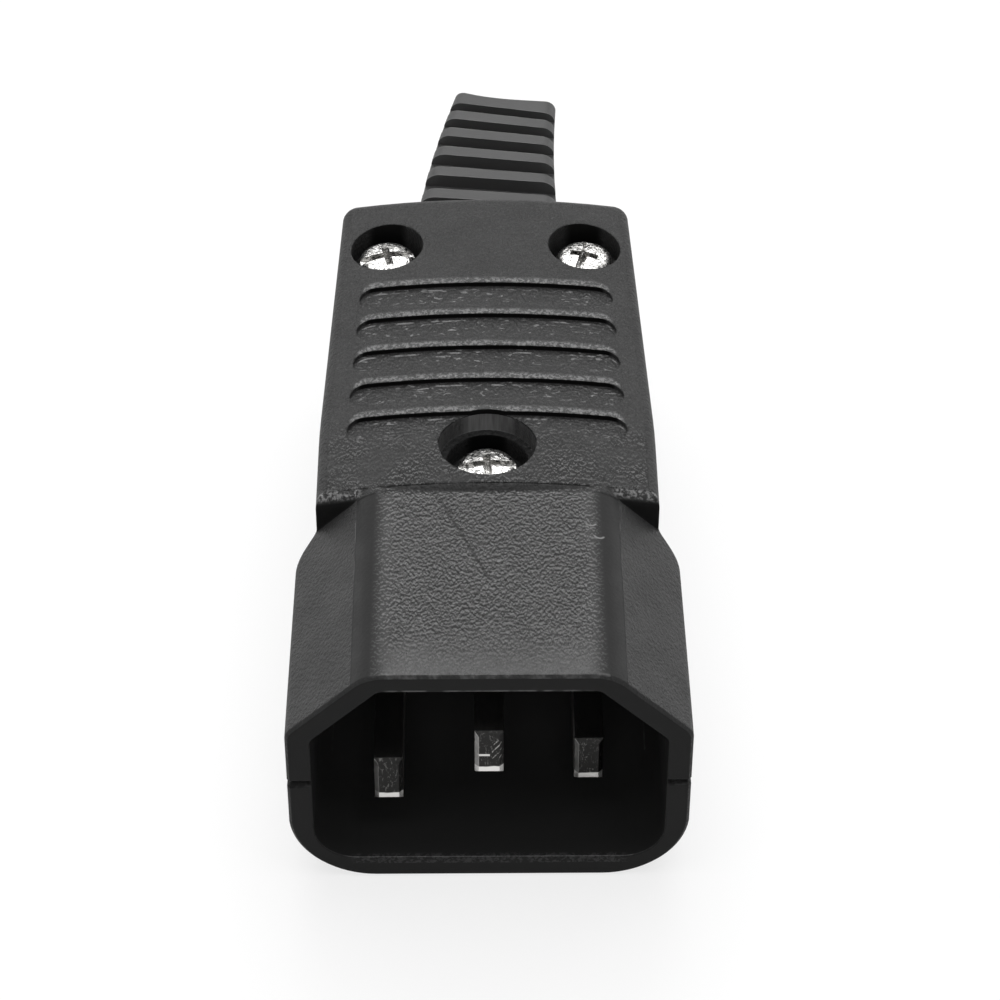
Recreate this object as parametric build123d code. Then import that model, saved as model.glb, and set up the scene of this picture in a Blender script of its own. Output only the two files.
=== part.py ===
from build123d import *
import os
from math import atan2, cos, degrees, radians, sin, sqrt

# Rewirable inline plug: three flat pins in a chamfered shroud, two moulded shells held by
# three screws and nuts, screw terminals, a cord clamp and a ribbed boot for the cord.
# Millimetres. X runs across the plug, Y from the mating end to the cord, Z up from the base.
# The origin lies on the flat base, under the step between the shroud and the grip.

# Opening that takes the mating connector
OPENING_WIDTH = 24.5
OPENING_HEIGHT = 16.6
OPENING_TOP_FLAT = 15.0
OPENING_DEPTH = 16.5
OPENING_BASE_RADIUS = 3.0
OPENING_CORNER_RADIUS = 0.8

# Shroud round the opening
SHROUD_LENGTH = 18.5
SHROUD_SIDE_WALL = 1.7
SHROUD_TOP_WALL = 1.4
SHROUD_BASE_WALL = 1.95
SHROUD_CHAMFER_WALL = 1.6
SHROUD_BASE_RADIUS = 6.0
SHROUD_SIDE_RADIUS = 1.5
SHROUD_TOP_RADIUS = 3.3
SHROUD_SIDE_DRAFT = 0.25
RIM_EDGE_CHAMFER = 0.2
SHOULDER_FRONT = 1.65
SHOULDER_RADIUS = 3.0
SHOULDER_ROOT_RADIUS = 1.0
SHROUD_ROOT = 3.2
SHROUD_RAMP_START = 0.8
SHROUD_RAMP_ANGLE = 10.0

# Grip, with its crowned top
GRIP_LENGTH = 34.5
GRIP_FRONT_WIDTH = 24.5
GRIP_REAR_WIDTH = 22.3
GRIP_TAPER_START = 8.0
GRIP_TAPER_RADIUS = 60.0
GRIP_REAR_CORNER_RADIUS = 1.3
GRIP_TOP_EDGE_RADIUS = 1.0
GRIP_BASE_EDGE_RADIUS = 1.2
CROWN_RADIUS = 70.0
CROWN_RISE = 0.2

# Shallow finger pockets across the top and the underside of the grip
POCKET_COUNT = 5
POCKET_PITCH = 3.75
POCKET_FIRST_REAR_WALL = 8.45
POCKET_WIDTH = 2.6
POCKET_FRONT_DEPTH = 0.08
POCKET_REAR_DEPTH = 0.4
POCKET_SIDE_MARGIN = 2.05

# Walls of the two shells
SHELL_WALL = 1.7
REAR_WALL = 1.7
BULKHEAD_THICKNESS = 2.6
PARTING_HEIGHT = 9.55
SEAM_CHAMFER = 0.3
INNER_CORNER_RADIUS = 1.0

# Flat pins of the mating face
PIN_WIDTH = 2.0
PIN_HEIGHT = 4.0
PIN_PITCH = 14.0
EARTH_PIN_RISE = 4.0
PIN_BLADE_LENGTH = 17.0
EARTH_BLADE_LENGTH = 18.3
PIN_TIP_BEVEL = 0.3
PIN_SLOT_CLEARANCE = 0.1
PIN_FLOAT = 1.8
SEAT_CLEARANCE = 0.05

# Screw terminals on the tails of the pins
TERMINAL_WIDTH = 6.0
TERMINAL_THICKNESS = 1.5
TERMINAL_LENGTH = 9.0
EARTH_STRAP_LENGTH = 16.4
EARTH_STRAP_HOLE = 4.2
TERMINAL_SCREW_SETBACK = 3.6
TERMINAL_SCREW_DIAMETER = 3.0
TERMINAL_SCREW_LENGTH = 5.0
TERMINAL_HEAD_DIAMETER = 5.0
TERMINAL_HEAD_HEIGHT = 1.8
WIRE_CLAMP_WIDTH = 5.6
WIRE_CLAMP_LENGTH = 6.0
WIRE_CLAMP_THICKNESS = 1.0
WIRE_CLAMP_GROOVE = 0.45
SCREW_TIP_ROOM = 0.8
BARRIER_THICKNESS = 0.8
TERMINAL_SEAT_MARGIN = 0.3
STOP_RIB_THICKNESS = 1.2
STOP_RIB_HEIGHT = 2.6

# Screws and nuts that hold the shells together
FRONT_SCREW_Y = 5.1
REAR_SCREW_SETBACK = 6.1
REAR_SCREW_PITCH = 15.25
HOUSING_SCREW_DIAMETER = 2.5
HOUSING_HEAD_DIAMETER = 4.5
HOUSING_HEAD_HEIGHT = 1.7
HEAD_BEVEL = 0.6
SCREW_HOLE_CLEARANCE = 0.2
THREAD_CLEARANCE = 0.05
REAR_COUNTERBORE = 5.6
REAR_SEAT_HEIGHT = 17.3
FRONT_COUNTERBORE = 7.1
FRONT_COUNTERBORE_DEPTH = 2.0
FRONT_INNER_BORE = 6.0
FRONT_SEAT_HEIGHT = 16.4
BOSS_WALL = 0.9
BOSS_FLOOR = 1.4
NUT_FLATS = 5.0
NUT_THICKNESS = 2.0
NUT_RECESS = 0.6
NUT_CLEARANCE = 0.1
NUT_BOSS_WALL = 0.7
SCREW_POST_WALL = 0.9

# Cord, its clamp and the two ribs under it
CORD_DIAMETER = 6.0
CORD_CLEARANCE = 0.1
CORD_AXIS_HEIGHT = 10.1
CORD_CLAMP_SETBACK = 12.9
CORD_CLAMP_LENGTH = 4.8
CORD_CLAMP_EAR = 2.3
CORD_CLAMP_THICKNESS = 1.5
CORD_CLAMP_END_RADIUS = 1.2
CORD_CLAMP_SCREW_PITCH = 13.4
CORD_CLAMP_SEAT_RISE = 0.4
CORD_CLAMP_POST_RADIUS = 2.2
CORD_CLAMP_SCREW_DIAMETER = 2.6
CORD_CLAMP_SCREW_LENGTH = 8.0
CORD_CLAMP_HEAD_DIAMETER = 4.4
CORD_CLAMP_HEAD_HEIGHT = 1.6
TROUGH_RIB_THICKNESS = 1.2
TROUGH_RIB_HALF_WIDTH = 4.4

# Boot round the cord
BOOT_LENGTH = 21.5
BOOT_ROOT_WIDTH = 12.2
BOOT_ROOT_HEIGHT = 10.6
BOOT_END_WIDTH = 8.6
BOOT_END_HEIGHT = 8.6
BOOT_ROOT_CORNER = 1.4
BOOT_END_CORNER = 0.8
BOOT_BEND_RADIUS = 140.0
BOOT_TWIST_ANGLE = 2.5
BOOT_COLLAR_LENGTH = 1.85
BOOT_SLOT_COUNT = 6
BOOT_SLOT_END_WIDTH = 1.1
BOOT_SLOT_STEP = 0.19
BOOT_RIB_THICKNESS = 1.27
BOOT_SLOT_ROOT_DEPTH = 1.45
BOOT_SLOT_END_DEPTH = 0.85
BOOT_LOFT_STATIONS = 5
BOOT_NECK_WIDTH = 9.8
BOOT_NECK_HEIGHT = 9.1
BOOT_NECK_CORNER = 2.2
BOOT_FLANGE_WIDTH = 10.4
BOOT_FLANGE_HEIGHT = 12.4
BOOT_FLANGE_CORNER = 3.0
BOOT_FLANGE_THICKNESS = 1.9
BOOT_CLEARANCE = 0.1

# How far a cutting form runs past the faces that it cuts
OVERRUN = 1.0

# Stations and heights that follow from the driving dimensions
RIM_Y = -SHROUD_LENGTH
SHROUD_HEIGHT = SHROUD_BASE_WALL + OPENING_HEIGHT + SHROUD_TOP_WALL
SHROUD_HALF_WIDTH = OPENING_WIDTH / 2 + SHROUD_SIDE_WALL
OPENING_TOP = SHROUD_BASE_WALL + OPENING_HEIGHT
CHAMFER_LINE = OPENING_TOP_FLAT / 2 + OPENING_TOP + SHROUD_CHAMFER_WALL * sqrt(2)
SHROUD_HALF_FLAT = CHAMFER_LINE - SHROUD_HEIGHT
CROWN_TOP = SHROUD_HEIGHT + CROWN_RISE
BULKHEAD_FRONT = RIM_Y + OPENING_DEPTH
BULKHEAD_REAR = BULKHEAD_FRONT + BULKHEAD_THICKNESS
REAR_WALL_INNER = GRIP_LENGTH - REAR_WALL
PIN_AXIS_HEIGHT = PARTING_HEIGHT - PIN_HEIGHT / 2
EARTH_AXIS_HEIGHT = PIN_AXIS_HEIGHT + EARTH_PIN_RISE
PIN_SEAT_HEIGHT = PIN_AXIS_HEIGHT - PIN_HEIGHT / 2
EARTH_SEAT_HEIGHT = EARTH_AXIS_HEIGHT - PIN_HEIGHT / 2
NUT_TOP = NUT_RECESS + NUT_THICKNESS
NUT_BOSS_RADIUS = (NUT_FLATS / 2 + NUT_CLEARANCE) / cos(radians(30)) + NUT_BOSS_WALL
NUT_BOSS_TOP = NUT_TOP + BOSS_FLOOR
SCREW_HOLE_RADIUS = HOUSING_SCREW_DIAMETER / 2 + SCREW_HOLE_CLEARANCE
SCREW_POST_RADIUS = SCREW_HOLE_RADIUS + SCREW_POST_WALL
REAR_SCREW_Y = GRIP_LENGTH - REAR_SCREW_SETBACK
CORD_CLAMP_Y = GRIP_LENGTH - CORD_CLAMP_SETBACK
CORD_CLAMP_WIDTH = CORD_CLAMP_SCREW_PITCH + 2 * CORD_CLAMP_EAR
CORD_BORE_RADIUS = CORD_DIAMETER / 2 + CORD_CLEARANCE
CORD_CLAMP_SEAT = CORD_AXIS_HEIGHT + CORD_CLAMP_SEAT_RISE
BOOT_ARC_LENGTH = BOOT_LENGTH - BOOT_COLLAR_LENGTH
BOOT_FLANGE_REAR = REAR_WALL_INNER - BOOT_CLEARANCE
BOOT_FLANGE_FRONT = BOOT_FLANGE_REAR - BOOT_FLANGE_THICKNESS
TALL = 3 * SHROUD_HEIGHT
SEAM_TOLERANCE = 0.001

REAR_SCREW_PLACES = [(side * REAR_SCREW_PITCH / 2, REAR_SCREW_Y) for side in (-1, 1)]
FRONT_SCREW_PLACE = (0, FRONT_SCREW_Y)
SCREW_PLACES = REAR_SCREW_PLACES + [FRONT_SCREW_PLACE]
CORD_CLAMP_PLACES = [(side * CORD_CLAMP_SCREW_PITCH / 2, CORD_CLAMP_Y) for side in (-1, 1)]

# Each pin: its place across the plug, the height of its lower edge, the length of its blade and
# tail, and how far back it has slid from the bulkhead. The neutral pin lies at the end of its float.
NEUTRAL_SETBACK = PIN_FLOAT + SEAT_CLEARANCE
PINS = {
    "line": (-PIN_PITCH / 2, PIN_SEAT_HEIGHT, PIN_BLADE_LENGTH, TERMINAL_LENGTH, SEAT_CLEARANCE),
    "neutral": (PIN_PITCH / 2, PIN_SEAT_HEIGHT, PIN_BLADE_LENGTH, TERMINAL_LENGTH, NEUTRAL_SETBACK),
    "earth": (0, EARTH_SEAT_HEIGHT, EARTH_BLADE_LENGTH, EARTH_STRAP_LENGTH, SEAT_CLEARANCE),
}


def raised(plan, bottom, top):
    """A prism over a plan outline, between two heights."""
    return extrude(Pos(0, 0, bottom) * plan, top - bottom)


def along_plug(profile, front, rear):
    """A prism of an X and Z profile, between two stations along the plug."""
    return extrude(Plane.XZ.offset(-rear) * profile, rear - front)


def post(place, radius, bottom, top):
    """An upright round post or hole at a place in plan."""
    column = Cylinder(radius, top - bottom, align=(Align.CENTER, Align.CENTER, Align.MIN))
    return Pos(place[0], place[1], bottom) * column


def block(x_range, y_range, z_range):
    """A box between two limits on each axis."""
    corner = Pos(x_range[0], y_range[0], z_range[0])
    size = [limits[1] - limits[0] for limits in (x_range, y_range, z_range)]
    return corner * Box(*size, align=(Align.MIN, Align.MIN, Align.MIN))


def rounded_face(points, rounding):
    """A closed face with its own radius at each corner."""
    return make_face(FilletPolyline(*points, radius=rounding, close=True))


def chamfered_profile(half_width, bottom, top, half_flat, base_radius, side_radius, top_radius):
    """Cross section of the mating face: round lower corners and two 45 degree upper corners."""
    shoulder = top - (half_width - half_flat)
    right = [(half_width, bottom), (half_width, shoulder), (half_flat, top)]
    left = [(-x, z) for x, z in reversed(right)]
    rounding = [base_radius, side_radius, top_radius]
    return rounded_face(right + left, rounding + rounding[::-1])


def grip_half_width(y):
    """Half the width of the grip at a station behind the start of its taper."""
    share = (y - GRIP_TAPER_START) / (GRIP_LENGTH - GRIP_TAPER_START)
    return (GRIP_FRONT_WIDTH + (GRIP_REAR_WIDTH - GRIP_FRONT_WIDTH) * max(share, 0)) / 2


def grip_plan(front, rear, inset, corner_radius):
    """Plan outline of the grip between two stations, pulled in from its sides by an inset."""
    right = [
        (grip_half_width(front) - inset, front),
        (grip_half_width(GRIP_TAPER_START) - inset, GRIP_TAPER_START),
        (grip_half_width(rear) - inset, rear),
    ]
    left = [(-x, y) for x, y in reversed(right)]
    rounding = [0, GRIP_TAPER_RADIUS, corner_radius]
    return rounded_face(right + left, rounding + rounding[::-1])


def under_crown(depth, bottom):
    """Everything below the crowned top of the grip, lowered by a depth, and above a floor."""
    half = SHROUD_HALF_WIDTH
    radius = CROWN_RADIUS - depth
    edge = CROWN_TOP - CROWN_RADIUS + sqrt(radius**2 - half**2)
    arc = ThreePointArc((-half, edge), (0, CROWN_TOP - depth), (half, edge))
    sides = Polyline((half, edge), (half, bottom), (-half, bottom), (-half, edge))
    return along_plug(make_face([arc, sides]), -OVERRUN, GRIP_LENGTH + OVERRUN)


def shroud_body():
    """Outside of the shroud, with rounded shoulders that run into the sides of the grip."""
    profile = chamfered_profile(
        SHROUD_HALF_WIDTH, 0, SHROUD_HEIGHT, SHROUD_HALF_FLAT,
        SHROUD_BASE_RADIUS, SHROUD_SIDE_RADIUS, SHROUD_TOP_RADIUS,
    )
    right = [
        (SHROUD_HALF_WIDTH, RIM_Y - OVERRUN),
        (SHROUD_HALF_WIDTH - SHROUD_SIDE_DRAFT, -SHOULDER_FRONT),
        (GRIP_FRONT_WIDTH / 2, 0),
        (GRIP_FRONT_WIDTH / 2, SHROUD_ROOT),
    ]
    left = [(-x, y) for x, y in reversed(right)]
    rounding = [0, SHOULDER_RADIUS, SHOULDER_ROOT_RADIUS, 0]
    plan = rounded_face(right + left, rounding + rounding[::-1])
    body = along_plug(profile, RIM_Y, SHROUD_ROOT) & raised(plan, -OVERRUN, TALL)
    body = chamfer(body.faces().sort_by(Axis.Y)[0].edges(), RIM_EDGE_CHAMFER)
    ramp = Pos(0, -SHROUD_RAMP_START, SHROUD_HEIGHT) * Rot(-SHROUD_RAMP_ANGLE, 0, 0)
    return body - ramp * Box(TALL, TALL, TALL, align=(Align.CENTER, Align.MIN, Align.MIN))


def falling_to_rear(form, front, height, angle):
    """A form turned about a line across the plug, so that it falls away behind that line."""
    return Pos(0, front, height) * Rot(-angle, 0, 0) * Pos(0, -front, -height) * form


def grip_body():
    """Outside of the grip: a tapered block with a crowned top and finger pockets on both faces."""
    plan = grip_plan(0, GRIP_LENGTH, 0, GRIP_REAR_CORNER_RADIUS)
    body = raised(plan, 0, TALL) & under_crown(0, -OVERRUN)
    body = fillet(body.faces().sort_by(Axis.Z)[-1].edges(), GRIP_TOP_EDGE_RADIUS)
    base_edges = body.faces().sort_by(Axis.Z)[0].edges().sort_by(Axis.Y)[1:]
    body = fillet(base_edges, GRIP_BASE_EDGE_RADIUS)
    crowned_floor = under_crown(POCKET_FRONT_DEPTH, -OVERRUN)
    flat_floor = block((-TALL, TALL), (-TALL, TALL), (POCKET_FRONT_DEPTH, TALL))
    angle = degrees(atan2(POCKET_REAR_DEPTH - POCKET_FRONT_DEPTH, POCKET_WIDTH))
    for index in range(POCKET_COUNT):
        front = POCKET_FIRST_REAR_WALL + index * POCKET_PITCH - POCKET_WIDTH
        middle = front + POCKET_WIDTH / 2
        length = 2 * (grip_half_width(middle) - POCKET_SIDE_MARGIN)
        outline = Pos(0, middle) * SlotOverall(length, POCKET_WIDTH)
        top_floor = falling_to_rear(crowned_floor, front, CROWN_TOP, angle)
        base_floor = falling_to_rear(flat_floor, front, 0, -angle)
        body -= raised(outline, PARTING_HEIGHT, TALL) - top_floor
        body -= raised(outline, -OVERRUN, PARTING_HEIGHT) - base_floor
    return body


def pin_slots():
    """Slots in the bulkhead that the three blades pass through."""
    width = PIN_WIDTH / 2 + PIN_SLOT_CLEARANCE
    slots = Part()
    for x, bottom, *_ in PINS.values():
        heights = (bottom - PIN_SLOT_CLEARANCE, bottom + PIN_HEIGHT + PIN_SLOT_CLEARANCE)
        stations = (BULKHEAD_FRONT - OVERRUN, BULKHEAD_REAR + OVERRUN)
        slots += block((x - width, x + width), stations, heights)
    return slots


def boot_hole():
    """Opening in the rear wall for the neck of the boot."""
    width = BOOT_NECK_WIDTH + 2 * BOOT_CLEARANCE
    height = BOOT_NECK_HEIGHT + 2 * BOOT_CLEARANCE
    outline = Pos(0, CORD_AXIS_HEIGHT) * RectangleRounded(width, height, BOOT_NECK_CORNER)
    return along_plug(outline, REAR_WALL_INNER - OVERRUN, GRIP_LENGTH + OVERRUN)


def terminal_bays():
    """Room in plan for the outer terminals, from the bulkhead to the end of their float."""
    length = TERMINAL_LENGTH + PIN_FLOAT + 2 * SEAT_CLEARANCE
    bay = Rectangle(TERMINAL_WIDTH + 2 * TERMINAL_SEAT_MARGIN, length)
    middle = BULKHEAD_REAR + length / 2
    return [Pos(side * PIN_PITCH / 2, middle) * bay for side in (-1, 1)]


def hollow_body(outside):
    """The outside form with the mating opening, the wiring chamber and the slots cut in it."""
    opening = chamfered_profile(
        OPENING_WIDTH / 2, SHROUD_BASE_WALL, OPENING_TOP, OPENING_TOP_FLAT / 2,
        OPENING_BASE_RADIUS, OPENING_CORNER_RADIUS, OPENING_CORNER_RADIUS,
    )
    plan = grip_plan(BULKHEAD_REAR, REAR_WALL_INNER, SHELL_WALL, INNER_CORNER_RADIUS) + terminal_bays()
    chamber = raised(plan, SHROUD_BASE_WALL, TALL) & under_crown(SHELL_WALL, 0)
    body = outside - along_plug(opening, RIM_Y - OVERRUN, BULKHEAD_FRONT)
    return body - chamber - pin_slots() - boot_hole()


def seam_chamfered(shell, outside):
    """Break the outer edge of a shell at the parting plane."""
    section = outside & Pos(0, 0, PARTING_HEIGHT) * Rectangle(TALL, 2 * TALL)
    outline = section.faces()[0].outer_wire()
    edges = [edge for edge in shell.edges() if outline.distance_to(edge.center()) < SEAM_TOLERANCE]
    return chamfer(edges, SEAM_CHAMFER)


def upper_shell(outside):
    """Upper half: bosses with sunk seats for the three screw heads."""
    shell = hollow_body(outside) & block((-TALL, TALL), (-TALL, TALL), (PARTING_HEIGHT, TALL))
    bosses = Part()
    for place in REAR_SCREW_PLACES:
        bosses += post(place, REAR_COUNTERBORE / 2 + BOSS_WALL, REAR_SEAT_HEIGHT - BOSS_FLOOR, CROWN_TOP)
        bosses += post(place, SCREW_POST_RADIUS, PARTING_HEIGHT, REAR_SEAT_HEIGHT)
    bosses += post(
        FRONT_SCREW_PLACE, FRONT_COUNTERBORE / 2 + BOSS_WALL, FRONT_SEAT_HEIGHT - BOSS_FLOOR, CROWN_TOP
    )
    shell += bosses & outside
    for place in REAR_SCREW_PLACES:
        shell -= post(place, REAR_COUNTERBORE / 2, REAR_SEAT_HEIGHT, TALL)
    shell -= post(FRONT_SCREW_PLACE, FRONT_COUNTERBORE / 2, CROWN_TOP - FRONT_COUNTERBORE_DEPTH, TALL)
    shell -= post(FRONT_SCREW_PLACE, FRONT_INNER_BORE / 2, FRONT_SEAT_HEIGHT, TALL)
    for place in SCREW_PLACES:
        shell -= post(place, SCREW_HOLE_RADIUS, 0, TALL)
    return seam_chamfered(shell, outside)


def terminal_seats():
    """Raised seats, stop ribs and barriers for the tails of the pins, on the floor of the lower shell."""
    floor = SHROUD_BASE_WALL - SEAT_CLEARANCE
    half = TERMINAL_WIDTH / 2 + TERMINAL_SEAT_MARGIN
    seat_front = BULKHEAD_REAR - SEAT_CLEARANCE
    stop = BULKHEAD_REAR + TERMINAL_LENGTH + PIN_FLOAT + 2 * SEAT_CLEARANCE
    stop_rear = stop + STOP_RIB_THICKNESS
    seats = Part()
    for x in (-PIN_PITCH / 2, PIN_PITCH / 2):
        across = (x - half, x + half)
        seats += block(across, (seat_front, stop_rear), (floor, PIN_SEAT_HEIGHT))
        seats += block(across, (stop, stop_rear), (floor, PIN_SEAT_HEIGHT + STOP_RIB_HEIGHT))
        inner = PIN_PITCH / 2 - half
        sides = sorted((x / abs(x) * inner, x / abs(x) * (inner - BARRIER_THICKNESS)))
        seats += block(sides, (seat_front, stop_rear), (floor, PARTING_HEIGHT))
        groove_front = BULKHEAD_REAR + TERMINAL_LENGTH - TERMINAL_SCREW_SETBACK
        tip_room = TERMINAL_SCREW_DIAMETER / 2 + SCREW_HOLE_CLEARANCE
        groove = (groove_front - tip_room, groove_front + PIN_FLOAT + tip_room)
        seats -= block((x - tip_room, x + tip_room), groove, (SHROUD_BASE_WALL, PIN_SEAT_HEIGHT))
    return seats


def earth_post():
    """Post under the earth terminal, drilled for the tip of its screw."""
    place = terminal_place("earth")
    radius = TERMINAL_WIDTH / 2
    tip = EARTH_SEAT_HEIGHT + TERMINAL_THICKNESS + WIRE_CLAMP_THICKNESS - TERMINAL_SCREW_LENGTH
    solid = post(place, radius, SHROUD_BASE_WALL - SEAT_CLEARANCE, EARTH_SEAT_HEIGHT)
    hole_radius = TERMINAL_SCREW_DIAMETER / 2 + SCREW_HOLE_CLEARANCE
    return solid - post(place, hole_radius, tip - SCREW_TIP_ROOM, TALL)


def cord_trough():
    """Two ribs shaped to the cord, and the two posts that carry the cord clamp."""
    floor = SHROUD_BASE_WALL - SEAT_CLEARANCE
    ribs = Part()
    for side in (-1, 1):
        middle = CORD_CLAMP_Y + side * (CORD_CLAMP_LENGTH - TROUGH_RIB_THICKNESS) / 2
        limits = (middle - TROUGH_RIB_THICKNESS / 2, middle + TROUGH_RIB_THICKNESS / 2)
        across = (-TROUGH_RIB_HALF_WIDTH, TROUGH_RIB_HALF_WIDTH)
        ribs += block(across, limits, (floor, PARTING_HEIGHT))
    cord = Pos(0, CORD_AXIS_HEIGHT) * Circle(CORD_BORE_RADIUS)
    ribs -= along_plug(cord, CORD_CLAMP_Y - CORD_CLAMP_LENGTH, CORD_CLAMP_Y + CORD_CLAMP_LENGTH)
    hole_radius = CORD_CLAMP_SCREW_DIAMETER / 2 + THREAD_CLEARANCE
    hole_bottom = CORD_CLAMP_SEAT + CORD_CLAMP_THICKNESS - CORD_CLAMP_SCREW_LENGTH - SCREW_TIP_ROOM
    for place in CORD_CLAMP_PLACES:
        ribs += post(place, CORD_CLAMP_POST_RADIUS, floor, CORD_CLAMP_SEAT)
    for place in CORD_CLAMP_PLACES:
        ribs -= post(place, hole_radius, hole_bottom, TALL)
    return ribs


def lower_shell(outside):
    """Lower half: terminal seats, cord trough and bosses with hexagon pockets for the nuts."""
    shell = hollow_body(outside) & block((-TALL, TALL), (-TALL, TALL), (-OVERRUN, PARTING_HEIGHT))
    shell = seam_chamfered(shell, outside)
    shell += terminal_seats()
    shell += earth_post()
    shell += cord_trough()
    bosses = Part()
    for place in SCREW_PLACES:
        bosses += post(place, NUT_BOSS_RADIUS, SHROUD_BASE_WALL - SEAT_CLEARANCE, NUT_BOSS_TOP)
        bosses += post(place, SCREW_POST_RADIUS, NUT_TOP, PARTING_HEIGHT)
    shell += bosses & outside
    pocket = hexagon(NUT_FLATS + 2 * NUT_CLEARANCE)
    for x, y in SCREW_PLACES:
        shell -= post((x, y), SCREW_HOLE_RADIUS, 0, TALL)
        shell -= raised(Pos(x, y) * pocket, -OVERRUN, NUT_TOP)
    return shell


def hexagon(flats):
    """A hexagon with two of its flats facing the sides of the plug."""
    return RegularPolygon(flats / 2, 6, major_radius=False, rotation=30)


def terminal_place(name):
    """Place in plan of a pin's terminal screw."""
    x, _, _, tail, setback = PINS[name]
    return x, BULKHEAD_REAR + setback + tail - TERMINAL_SCREW_SETBACK


def pin(name):
    """Flat blade with a bevelled end, and a tail plate tapped for the terminal screw."""
    x, bottom, blade, tail, setback = PINS[name]
    shoulder = BULKHEAD_REAR + setback
    nose = shoulder - blade
    top = bottom + PIN_HEIGHT
    tail_across = (x - TERMINAL_WIDTH / 2, x + TERMINAL_WIDTH / 2)
    side = Polyline(
        (nose, bottom), (shoulder + PIN_HEIGHT / 2, bottom), (shoulder, top), (nose, top), close=True
    )
    solid = extrude(Plane.YZ.offset(x - PIN_WIDTH / 2) * make_face(side), PIN_WIDTH)
    solid = chamfer(solid.faces().sort_by(Axis.Y)[0].edges(), PIN_TIP_BEVEL)
    solid += block(tail_across, (shoulder, shoulder + tail), (bottom, bottom + TERMINAL_THICKNESS))
    if name == "earth":
        solid -= post(FRONT_SCREW_PLACE, EARTH_STRAP_HOLE / 2, 0, TALL)
    thread = TERMINAL_SCREW_DIAMETER / 2 + THREAD_CLEARANCE
    return solid - post(terminal_place(name), thread, 0, TALL)


def wire_clamp(name):
    """Plate that presses a wire on the tail of a pin, with two grooves across its underside."""
    x, y = terminal_place(name)
    bottom = PINS[name][1] + TERMINAL_THICKNESS
    plate = Pos(x, y, bottom) * Box(
        WIRE_CLAMP_WIDTH, WIRE_CLAMP_LENGTH, WIRE_CLAMP_THICKNESS,
        align=(Align.CENTER, Align.CENTER, Align.MIN),
    )
    for side in (-1, 1):
        offset = side * (TERMINAL_SCREW_DIAMETER + WIRE_CLAMP_WIDTH) / 4
        groove = Pos(x + offset, bottom) * Circle(WIRE_CLAMP_GROOVE)
        plate -= along_plug(groove, y - WIRE_CLAMP_LENGTH, y + WIRE_CLAMP_LENGTH)
    return plate - post((x, y), TERMINAL_SCREW_DIAMETER / 2 + THREAD_CLEARANCE, 0, TALL)


def pan_screw(place, seat, length, diameter, head_diameter, head_height):
    """Bevelled pan head screw that hangs down from its seat."""
    shank = post(place, diameter / 2, seat - length, seat)
    head = post(place, head_diameter / 2, seat, seat + head_height)
    crown = head.edges().filter_by(GeomType.CIRCLE).sort_by(Axis.Z)[-1]
    return shank + chamfer(crown, HEAD_BEVEL)


def housing_screw(place, seat):
    """Screw from its sunk seat in the upper shell down to the lower face of its nut."""
    return pan_screw(
        place, seat, seat - NUT_RECESS, HOUSING_SCREW_DIAMETER, HOUSING_HEAD_DIAMETER, HOUSING_HEAD_HEIGHT
    )


def terminal_screw(name):
    """Screw through a wire clamp into the tail of a pin."""
    seat = PINS[name][1] + TERMINAL_THICKNESS + WIRE_CLAMP_THICKNESS
    return pan_screw(
        terminal_place(name), seat, TERMINAL_SCREW_LENGTH,
        TERMINAL_SCREW_DIAMETER, TERMINAL_HEAD_DIAMETER, TERMINAL_HEAD_HEIGHT,
    )


def cord_clamp_screw(place):
    """Screw through the cord clamp into its post."""
    return pan_screw(
        place, CORD_CLAMP_SEAT + CORD_CLAMP_THICKNESS, CORD_CLAMP_SCREW_LENGTH,
        CORD_CLAMP_SCREW_DIAMETER, CORD_CLAMP_HEAD_DIAMETER, CORD_CLAMP_HEAD_HEIGHT,
    )


def housing_nut(place):
    """Hexagon nut under the roof of its pocket."""
    outline = hexagon(NUT_FLATS) - Circle(HOUSING_SCREW_DIAMETER / 2 + THREAD_CLEARANCE)
    return raised(Pos(*place) * outline, NUT_RECESS, NUT_TOP)


def cord_clamp():
    """Saddle over the cord: an arch between two flat ears."""
    top = CORD_CLAMP_SEAT + CORD_CLAMP_THICKNESS
    height = top - CORD_CLAMP_SEAT
    ears = Pos(0, CORD_CLAMP_SEAT + height / 2) * Rectangle(CORD_CLAMP_WIDTH, height)
    arch = Pos(0, CORD_AXIS_HEIGHT) * Circle(CORD_BORE_RADIUS + CORD_CLAMP_THICKNESS)
    arch &= Pos(0, CORD_CLAMP_SEAT + TALL / 2) * Rectangle(TALL, TALL)
    outline = ears + arch - Pos(0, CORD_AXIS_HEIGHT) * Circle(CORD_BORE_RADIUS)
    half = CORD_CLAMP_LENGTH / 2
    solid = along_plug(outline, CORD_CLAMP_Y - half, CORD_CLAMP_Y + half)
    ends = solid.edges().filter_by(Axis.Z).group_by(lambda edge: abs(edge.center().X))[-1]
    solid = fillet(ends, CORD_CLAMP_END_RADIUS)
    for place in CORD_CLAMP_PLACES:
        solid -= post(place, CORD_CLAMP_SCREW_DIAMETER / 2 + THREAD_CLEARANCE, 0, TALL)
    return solid


def boot_frame(distance):
    """Plane across the bent and twisted axis of the boot, at a distance from the rear of the grip."""
    turn = min(max(distance, 0), BOOT_ARC_LENGTH) / BOOT_BEND_RADIUS
    straight = distance - turn * BOOT_BEND_RADIUS
    x = BOOT_BEND_RADIUS * (1 - cos(turn)) + straight * sin(turn)
    y = GRIP_LENGTH + BOOT_BEND_RADIUS * sin(turn) + straight * cos(turn)
    level = cos(radians(BOOT_TWIST_ANGLE))
    across = (level * cos(turn), -level * sin(turn), -sin(radians(BOOT_TWIST_ANGLE)))
    return Plane((x, y, CORD_AXIS_HEIGHT), x_dir=across, z_dir=(sin(turn), cos(turn), 0))


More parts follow.
